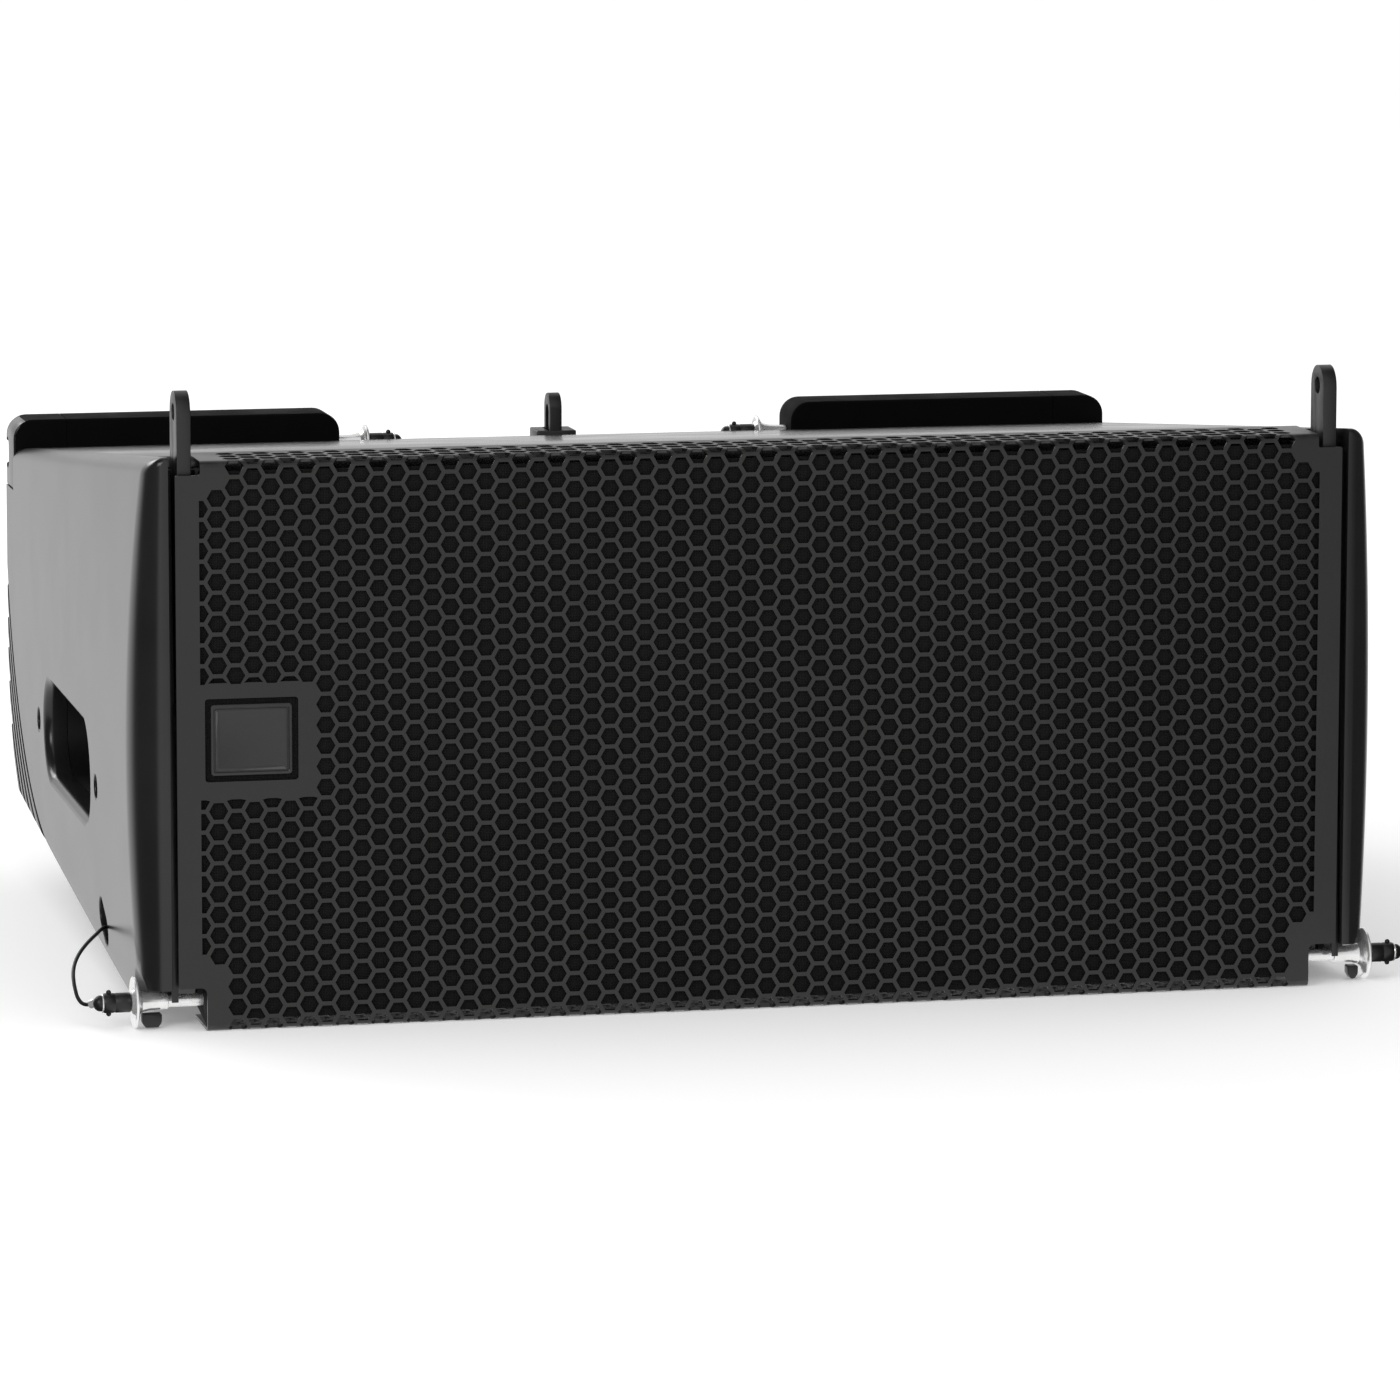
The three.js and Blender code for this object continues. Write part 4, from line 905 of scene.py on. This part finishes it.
def make_cheeks():
    """Smooth cheeks, with rounded lips round their openings and curved ribs at the rear."""
    stations = [CHEEK_FRONT + 30 * (1 - cos(pi / 2 * i / 22)) for i in range(23)]
    stations += [30 + (DEPTH + 1 - 30) * i / 60 for i in range(1, 61)]
    near, far = CHEEK_IN - 20, CHEEK_IN + 45
    bm = bmesh.new()
    low = rear_arc()[1]
    behind = [(DEPTH, CUT_HIGH), (CUT_REAR, CUT_HIGH), (CUT_REAR, low - 20)]
    add_prism(bm, rear_curve(low - 20, REAR_ARC_Z, DEPTH) + behind, near, far)
    outside = loft("cheek", [cheek_ring(y) for y in stations])
    shell = carve(outside, mesh_of(bm, "rear"), "cheek")
    bm = bmesh.new()
    ledge = [(FOOT_Y, CUT_HIGH), (FOOT_Y, LEDGE_Z), (LEDGE_REAR, LEDGE_Z), (LEDGE_REAR, CUT_HIGH)]
    add_prism(bm, ledge, near, far)
    shell = carve(shell, mesh_of(bm, "ledge"), "cheek")
    bm = bmesh.new()
    scoop = [(-20, -20), (SCOOP_Y + 14, -20), (SCOOP_Y, SCOOP_Z - 9)]
    scoop += arc(SCOOP_Y - SCOOP_R, SCOOP_Z - SCOOP_R, SCOOP_R, 0, 90, 12) + [(-20, SCOOP_Z)]
    add_prism(bm, scoop, near, far)
    shell = carve(shell, mesh_of(bm, "scoop"), "cheek")
    bm = bmesh.new()
    centre = (0, *middle("front_pin_right_body"))
    flare = [(CHEEK_IN + along, radius) for along, radius in smoothed(FLARE)]
    add_lathe(bm, [(near, 0), (near, flare[0][1])] + flare + [(flare[-1][0], 0)], "x", centre, 96)
    shell = carve(shell, mesh_of(bm, "flare"), "cheek")
    bm = bmesh.new()
    y, z, length, height = handle_place()
    add_opening(bm, lambda o: stadium(y, z, length, height, 0, 32, o), HANDLE_SOFT, near)
    ly, lz, ll, lh, tilt = LANYARD_SLOT
    add_opening(bm, lambda o: stadium(ly, lz, ll, lh, tilt, 16, o), 0.7, near)
    for end in ("front", "rear"):
        node = f"cheek_screw_{end}_right"
        x0, (cy, cz), r = span(node)[0], middle(node), 6.0
        add_opening(bm, lambda o, cy=cy, cz=cz, r=r: arc(cy, cz, r + o, 0, 352.5, 47), 0.9, x0 - 0.3)
    for n in range(LOUVRE_COUNT):
        add_louvre(bm, LOUVRE_RADIUS + n * LOUVRE_PITCH)
    shell = carve(shell, mesh_of(bm, "openings"), "cheek")
    piece("cheek_shell_left", mirror(shell, "cheek_shell_left"), "root", "cheek", "cheek_left")
    piece("cheek_shell_right", shell, "root", "cheek", "cheek_right")


# ---------------- handle cups and cheek screws

def make_cups():
    y, z, length, height = handle_place()
    for side, sign in (("left", -1), ("right", 1)):
        x0, x1 = sorted(abs(v) for v in span(f"handle_cup_{side}")[:2])
        floor = x0 + CUP_WALL
        rows = [(1.5, x0), (2.6, x0 + 0.4), (CUP_WALL, x0 + 1.5), (CUP_WALL, x1), (0.0, x1)]
        rows += [(0.0, floor + CUP_ROUND)]
        for t in (radians(a) for a in range(15, 91, 15)):
            rows.append((-CUP_ROUND * (1 - cos(t)), floor + CUP_ROUND * (1 - sin(t))))
        rings = []
        for outset, x in rows:
            outline = stadium(y, z, length, height, 0, 32, outset)
            rings.append([(sign * x, v, w) for v, w in outline])
        name = f"handle_cup_{side}"
        piece(name + "_shell", loft(name, rings), "root", "grip", name)


def make_screw(name, along, x, y, z, radius, *replaced):
    """A socket cap head: along is +1 or -1 for the way that it faces along x, or 2 for +y."""
    r = radius
    profile = [(0, r), (1.9, r), (2.5, r * 0.93), (2.9, r * 0.78), (3, r * 0.6)]
    profile += [(2.85, r * 0.5), (1.2, r * 0.5)]
    steps = 48
    rings = []
    for height, reach in profile:
        ring = []
        for i in range(steps):
            t = 2 * pi * i / steps
            within = reach if reach > r * 0.55 else reach * cos(pi / 6) / cos((t % (pi / 3)) - pi / 6)
            u, v = within * cos(t), within * sin(t)
            ring.append((x + u, y + height, z + v) if along == 2 else (x + along * height, y + u, z + v))
        rings.append(ring)
    return piece(name, loft(name, rings, 30), "root", "screw", *replaced)


def make_cheek_screws():
    for side, sign in (("left", -1), ("right", 1)):
        for end in ("front", "rear"):
            node = f"cheek_screw_{end}_{side}"
            base = min(abs(x) for x in span(node)[:2])
            make_screw(node + "_head", sign, sign * base, *middle(node), 5.0, node)


# ---------------- rigging

def make_brackets():
    """Each bracket is a channel: an outer plate with an ear, an inner plate, and a web."""
    # Known fault: the outer plate's mesh is open round the ear, whose lower half doesn't show.
    pin_y, pin_z = middle("front_pin_right_body")
    _, _, y0, y1, z0, z1 = span("front_bracket_right")
    ear, hole, plate = pin_z - z0, 3.25, 3.2
    setback = 11.0
    outline = [(y0 + setback, z1 - 1.5), (y0 + setback, pin_z + ear + 6)]
    outline += arc(pin_y, pin_z, ear, 150, 352, 32) + [(y1, pin_z + ear + 4), (y1, z1)]
    outline += [(y0 + setback + 1.5, z1)]
    outline = outline[::-1]
    lower = [(1.9, 1.9), (30, 6.0), (y1 + 6, 6.0), (y1 + 6, 12), (y1, 14), (y1, z1)]
    lower += [(y0 + setback, z1), (y0 + setback, pin_z + ear + 6), (1.9, pin_z + ear)]
    for side, sign in (("left", -1), ("right", 1)):
        name = f"front_bracket_{side}"
        x0, x1 = sorted(abs(v) for v in span(name)[:2])
        bm = bmesh.new()
        add_plate(bm, outline, (pin_y, pin_z, hole), sign * (x1 - plate), sign * x1)
        soften(bm, 0.4, 2, 50, merge=False)
        web = [(x0 + plate, y1 - 3), (x1 - plate, y1 - 3), (x1 - plate, y1), (x0 + plate, y1)]
        add_loft(bm, [[(sign * x, y, z) for x, y in web] for z in (pin_z + 22, z1 - 0.5)])
        piece(name + "_channel", mesh_of(bm, name), "root", "rigging", name)
        bm = bmesh.new()
        add_plate(bm, lower, (pin_y, pin_z, hole), sign * x0, sign * (x0 + plate))
        soften(bm, 0.3, 2, 50, merge=False)
        # The inner plate is dressed in the darker copy of the rigging finish, which is painted shade.
        dress(piece(name + "_inner", mesh_of(bm, name), "root", "rigging"), "rigging_painted_shade")


def add_plate(bm, outline, hole, x0, x1):
    """A plate with an outline in (y, z) and one round hole, between two places along x."""
    cy, cz, radius = hole
    verts = [Vector(p) for p in outline]
    ring = arc(cy, cz, radius, 0, 348.75, 31)
    faces = [list(range(len(verts))), list(range(len(verts), len(verts) + len(ring)))]
    verts += [Vector(p) for p in ring]
    points, _, tris, _, _, owners = delaunay_2d_cdt(verts, [], faces, 0, 1e-4, True)
    kept = [tri for tri, owner in zip(tris, owners) if owner == [0]]
    near = [bm.verts.new(at(x0, p.x, p.y)) for p in points]
    far = [bm.verts.new(at(x1, p.x, p.y)) for p in points]
    rim = {}
    for tri in kept:
        bm.faces.new([near[i] for i in tri])
        bm.faces.new([far[i] for i in reversed(tri)])
        rim.update({(i, j): True for i, j in zip(tri, tri[1:] + tri[:1])})
    for i, j in rim:
        if (j, i) not in rim:
            bm.faces.new([near[j], near[i], far[i], far[j]])


def make_rigging():
    make_brackets()
    for side in ("left", "right"):
        refined(f"front_link_{side}", 0.7, 3)
        refined(f"link_guide_{side}", 0.5)
    refined("rear_link", 0.7, 3)
    refined("rear_link_bracket", 0.8, 3)


PIN_DATUM = 17.4  # from the collar's seat out to the end of the flange
# The knobs and the ring stay clear of the button, radius 3.7, when it is pressed in.
KNOB_ALONG, KNOB_RADIUS, KNOB_OFFSET = 27.8, 1.2, 5.0


def make_pins():
    """Quick-release pins: turned shank and dished flange, black sleeve, ring and button."""
    for name in ("front_pin_left", "front_pin_right", "rear_pin_left", "rear_pin_right"):
        x0, x1, y0, y1, _, _ = span(name + "_body")
        outward = 1 if name in ("front_pin_right", "rear_pin_left") else -1
        seat = x1 - PIN_DATUM if outward > 0 else x0 + PIN_DATUM
        centre = (0, *middle(name + "_body"))

        def turned_piece(label, profile, body, slot, *nodes):
            rows = [(seat + outward * along, radius) for along, radius in profile]
            return piece(label, lathe(label, rows, "x", centre), body, slot, *nodes)

        rim = (y1 - y0) / 2
        steel = [
            (-21.6, 0), (-21.6, 1.7), (-21.3, 2.1), (-20.6, 2.7), (-20.2, 2.9), (-17.6, 2.9), (-17.4, 2.7),
            (-17.0, 2.7), (-16.8, 2.9), (0.3, 2.9), (0.3, 3.3), (0.6, 3.75), (3.0, 3.8), (9.0, 4.1),
            (12.6, 4.9), (13.6, 6.0), (14.2, 7.0), (14.5, rim - 2.4), (14.9, rim - 0.7), (15.3, rim - 0.1),
            (15.8, rim), (16.3, rim - 0.1), (16.6, rim - 0.5), (16.5, rim - 1.4), (16.0, 7.2), (15.9, 6.9),
            (16.3, 6.2), (17.1, 5.6), (17.4, 5.1), (17.4, 0),
        ]
        turned_piece(name + "_shank", steel, name, "steel", name + "_body")
        sleeve = [
            (17.7, 0), (17.7, 4.1), (17.9, 4.5), (18.3, 4.6), (24.5, 4.6), (24.8, 4.45), (25.2, 4.45),
            (25.5, 4.6), (29.7, 4.6), (30.2, 4.4), (30.4, 4.15), (30.3, 4.0), (26.2, 4.0), (26.2, 0),
        ]
        turned_piece(name + "_grip", sleeve, name, "grip", name + "_sleeve")
        for up in (-1, 1):
            turn = [radians(a) for a in range(180, -1, -15)]
            ball = [(KNOB_ALONG + KNOB_RADIUS * cos(t), KNOB_RADIUS * sin(t)) for t in turn]
            rows = [(seat + outward * along, radius) for along, radius in ball]
            spot = (0, centre[1], centre[2] + up * KNOB_OFFSET)
            label = f"{name}_stop_{'low' if up < 0 else 'high'}"
            piece(label, lathe(label, rows, "x", spot, 32), name, "grip")
        ring = [(30.35, 3.8), (30.35, 4.25), (30.6, 4.4), (30.9, 4.4), (31.1, 4.25), (31.1, 3.8)]
        ring.append(ring[0])
        turned_piece(name + "_ring", ring, name, "steel")
        button = [
            (29.4, 0), (29.4, 3.7), (32.0, 3.7), (32.6, 3.62), (33.4, 3.25), (34.2, 2.45), (34.8, 1.4),
            (35.1, 0),
        ]
        turned_piece(name + "_plunger", button, name + "_button", "grip", name + "_button")
    for side in ("left", "right"):
        refined(f"front_pin_{side}_tab", 0.6)


# ---------------- feet

FOOT_CAP = 11.0  # the foot's outer end has the cheek's finish this far in
FOOT_SEAM, FOOT_SOFT = 262.0, 1.0
FOOT_BORE, FOOT_BORE_DEEP = 3.25, 23.6
FOOT_RECESS = (16, 9)  # length and width of the oval


def make_feet():
    """Rubber feet with rounded ends, a fine mould line and an oval recess in the outer end."""
    x0, x1, y0, y1, z0, z1 = span("rear_foot_right")
    pin_y, pin_z = middle("rear_pin_right_body")
    soft = FOOT_SOFT
    rings = []
    for turn in (0, 1):
        for i in range(7):
            a = radians(15 * i) if turn == 0 else radians(90 - 15 * i)
            inset = soft * (1 - sin(a))
            y = y0 + soft * (1 - cos(a)) if turn == 0 else y1 - soft * (1 - cos(a))
            radii = [4, 0.6, 10, 10 - inset * 0.2]
            outline = rounded(x0 + inset, x1 - inset, z0 + inset * 0.2, z1 - inset, radii)
            rings.append([(x, y, z) for x, z in outline])
    block = loft("foot", rings)
    bm = bmesh.new()
    mouth, end = x0 - 3, x0 + FOOT_BORE_DEEP
    bore = [(mouth, 0), (mouth, FOOT_BORE), (end, FOOT_BORE), (end, 0)]
    add_lathe(bm, bore, "x", (0, pin_y, pin_z), 48)
    oval = stadium(y1 - 4, pin_z - 2, *FOOT_RECESS, pi / 2, 16)
    add_prism(bm, oval, x1 - 6, x1 + 3)
    block = carve(block, mesh_of(bm, "bores"), "foot")
    bm = bmesh.new()
    seam = FOOT_SEAM
    outside = rounded(y0 - 2, y1 + 2, z0 + 0.5, z1 + 2, [0.5] * 4, 2)
    inside = rounded(y0 + 0.35, y1 - 0.35, z0 - 1, z1 - 0.35, [0.5, 0.5, soft, soft], 6)
    add_prism(bm, outside, seam - 0.25, seam + 0.25)
    frame_out = mesh_of(bm, "seam_out")
    bm = bmesh.new()
    add_prism(bm, inside, seam - 1, seam + 1)
    seam_tool = carve(frame_out, mesh_of(bm, "seam_in"), "seam")
    block = carve(block, seam_tool, "foot")
    left = mirror(block, "foot_left")
    for name, mesh, sign in (("left", left, -1), ("right", block, 1)):
        piece("foot_" + name, mesh, "root", "rubber", "rear_foot_" + name)
        mesh.materials.append(MATERIALS["cheek"])
        for face in mesh.polygons:
            far = face.center.x * sign > (x1 - FOOT_CAP) * MM
            face.material_index = 1 if far and face.normal.x * sign > 0.35 else 0


# ---------------- cabinet and rear

PANEL_SCREW_X = (-186, -96, 26)  # the rear panel's screws between its two ends


def make_cabinet():
    for node in ("cabinet_top", "cabinet_bottom", "rear_step"):
        refined(node, 1.0, 3)
    refined("rear_panel", 0.6)
    refined("rear_cover", 0.8)
    refined("connector_plate", 0.4)
    add_screws("rear_panel", "rear_panel_screw", 14, 6.5, 2.9, PANEL_SCREW_X)
    add_screws("connector_plate", "plate_screw", 5, 5, 1.9)


def add_screws(node, stem, in_x, in_z, radius, between=()):
    """Two rows of screws on a plate's rear face, in from its ends and from its edges."""
    x0, x1, _, y1, z0, z1 = span(node)
    for i, x in enumerate((x0 + in_x, *between, x1 - in_x)):
        for j, z in enumerate((z0 + in_z, z1 - in_z)):
            make_screw(f"{stem}_{i}_{j}", 2, x, y1 - 0.2, z, radius)


def make_connectors():
    """Round locking loudspeaker sockets: a flanged shell and a core with contacts."""
    for node in ("connector_in", "connector_link"):
        x0, x1, y0, y1, z0, z1 = span(node)
        centre = ((x0 + x1) / 2, 0, (z0 + z1) / 2)
        shell = (x1 - x0) / 2
        socket, core = shell - 1.6, 4.4
        floor = y1 - 17.4
        barrel = [
            (y0, 0), (y0, shell - 0.5), (y0 + 0.5, shell), (y1 - 0.7, shell), (y1 - 0.2, shell - 0.25),
            (y1, shell - 0.7), (y1 - 0.1, socket + 0.3), (y1 - 0.6, socket), (floor, socket), (floor, core),
            (y1 - 4.0, core), (y1 - 3.5, core - 0.3), (y1 - 3.4, core - 0.8), (y1 - 3.4, 2.2),
            (y1 - 5.4, 2.0), (y1 - 5.4, 0),
        ]
        piece(node + "_socket", lathe(node, barrel, "y", centre), "root", "grip", node)
        bm = bmesh.new()
        for turn in range(4):
            t = radians(45 + 90 * turn)
            u, v = core * cos(t), core * sin(t)
            blade = [(floor + 0.2, 0), (floor + 0.2, 0.9), (y1 - 6.0, 0.9), (y1 - 5.4, 0.5), (y1 - 5.4, 0)]
            add_lathe(bm, blade, "y", (centre[0] + u * 1.28, 0, centre[2] + v * 1.28), 16)
        piece(node + "_contacts", mesh_of(bm, node + "_contacts"), "root", "steel")


# ---------------- stage and light

FLOOR_SIZE, FLOOR_STEPS = 60.0, 24
FLOOR_GLOW = 0.16  # a little light of its own keeps the pale floor close to white
GLOSS_HALF, GLOSS_FROM = 0.3, -0.23  # the object's front edge, which the soft boxes are seen from


def make_floor():
    size, steps = FLOOR_SIZE, FLOOR_STEPS
    bm = bmesh.new()
    grid = [[bm.verts.new((size * (i / steps - 0.5), size * (j / steps - 0.5), 0)) for i in range(steps + 1)]
            for j in range(steps + 1)]
    for j in range(steps):
        for i in range(steps):
            bm.faces.new((grid[j][i], grid[j][i + 1], grid[j + 1][i + 1], grid[j + 1][i]))
    mesh = bpy.data.meshes.new("floor")
    bm.to_mesh(mesh)
    bm.free()
    placed("floor", mesh)
    n = Nodes("floor")
    n.shader.inputs["Base Color"].default_value = (0.93, 0.93, 0.93, 1)
    n.shader.inputs["Roughness"].default_value = 1.0
    n.shader.inputs["Specular IOR Level"].default_value = 0.0
    n.shader.inputs["Emission Color"].default_value = (1, 1, 1, 1)
    n.shader.inputs["Emission Strength"].default_value = FLOOR_GLOW
    # Seen in a gloss, the floor is lit by the same two soft boxes as the room.
    parts = n.add("ShaderNodeSeparateXYZ")
    n.link(n.add("ShaderNodeNewGeometry").outputs["Position"], parts.inputs[0])
    inside = n.maths("MINIMUM", n.maths("MAXIMUM", parts.outputs["X"], -GLOSS_HALF), GLOSS_HALF)
    aside = n.maths("SUBTRACT", parts.outputs["X"], inside)
    behind = n.maths("ADD", parts.outputs["Y"], -GLOSS_FROM)
    share = gloss_share(n, aside, behind)
    glow = n.add("ShaderNodeEmission")
    n.link(share, glow.inputs["Strength"])
    mix = n.add("ShaderNodeMixShader")
    n.link(n.add("ShaderNodeLightPath").outputs["Is Glossy Ray"], mix.inputs["Fac"])
    n.link(n.shader.outputs[0], mix.inputs[1])
    n.link(glow.outputs[0], mix.inputs[2])
    n.link(mix.outputs[0], n.tree.nodes["Material Output"].inputs["Surface"])
    mesh.materials.append(n.material)


# The camera sees a plain white room, and diffuse light comes evenly from all of it, at AMBIENT.
# A gloss sees a wide soft box behind, a smaller one in front, and dark sides. The edges are
# cosines of the angle from the middle of each box.
AMBIENT = 1.15
GLOSS_DARK = 0.05
GLOSS_REAR = 0.95
GLOSS_FRONT = 0.9
REAR_EDGE = (0.55, 0.85)
FRONT_EDGE = (0.80, 0.975)
FRONT_TURN = radians(5)


def gloss_share(n, x, y):
    """Brightness of the room in the level direction (x, y), for rays that come off a gloss."""
    square = n.maths("ADD", n.maths("MULTIPLY", x, x), n.maths("MULTIPLY", y, y))
    level = n.maths("SQRT", square, 0)
    level = n.maths("MAXIMUM", level, 0.001)
    across, ahead = -sin(FRONT_TURN), -cos(FRONT_TURN)
    towards = n.maths("ADD", n.maths("MULTIPLY", x, across), n.maths("MULTIPLY", y, ahead))
    rear = n.spread(n.maths("DIVIDE", y, level), GLOSS_DARK, GLOSS_REAR, *REAR_EDGE)
    front = n.spread(n.maths("DIVIDE", towards, level), 0, GLOSS_FRONT, *FRONT_EDGE)
    return n.maths("ADD", rear, front)


def make_world():
    world = bpy.data.worlds.new("studio")
    bpy.context.scene.world = world
    world.use_nodes = True
    world.cycles.sampling_method = "NONE"
    n = Nodes.on(world.node_tree)
    parts = n.add("ShaderNodeSeparateXYZ")
    n.link(n.add("ShaderNodeTexCoord").outputs["Generated"], parts.inputs[0])
    path = n.add("ShaderNodeLightPath")
    share = gloss_share(n, parts.outputs["X"], parts.outputs["Y"])
    soft = n.mixed(path.outputs["Is Glossy Ray"], AMBIENT, share)
    sky = n.add("ShaderNodeBackground")
    n.link(n.mixed(path.outputs["Is Camera Ray"], soft, 1.0), sky.inputs["Strength"])
    out = n.add("ShaderNodeOutputWorld")
    n.link(sky.outputs[0], out.inputs["Surface"])


def add_area(name, place, aim, size, power):
    data = bpy.data.lights.new(name, "AREA")
    data.shape = "RECTANGLE"
    data.size, data.size_y = size
    data.energy = power
    lamp = placed(name, data)
    lamp.location = place
    lamp.rotation_euler = (Vector(aim) - Vector(place)).to_track_quat("-Z", "Y").to_euler()
    lamp.visible_camera = False


def make_lights():
    add_area("key", (-1.3, -1.5, 0.9), (-0.1, -0.2, 0.12), (0.9, 0.7), 9)
    add_area("rear_fill", (-1.2, 1.9, 1.3), (0, 0.2, 0.15), (1.4, 0.8), 14)


make_camera()
dress_frame()
make_lanyard()
cloth_front = make_grille()
make_cloth()
make_badge()
make_cheeks()
make_cups()
make_cheek_screws()
make_rigging()
make_pins()
make_feet()
make_cabinet()
make_connectors()
make_floor()
make_world()
make_lights()
bpy.context.scene.view_settings.view_transform = "Standard"
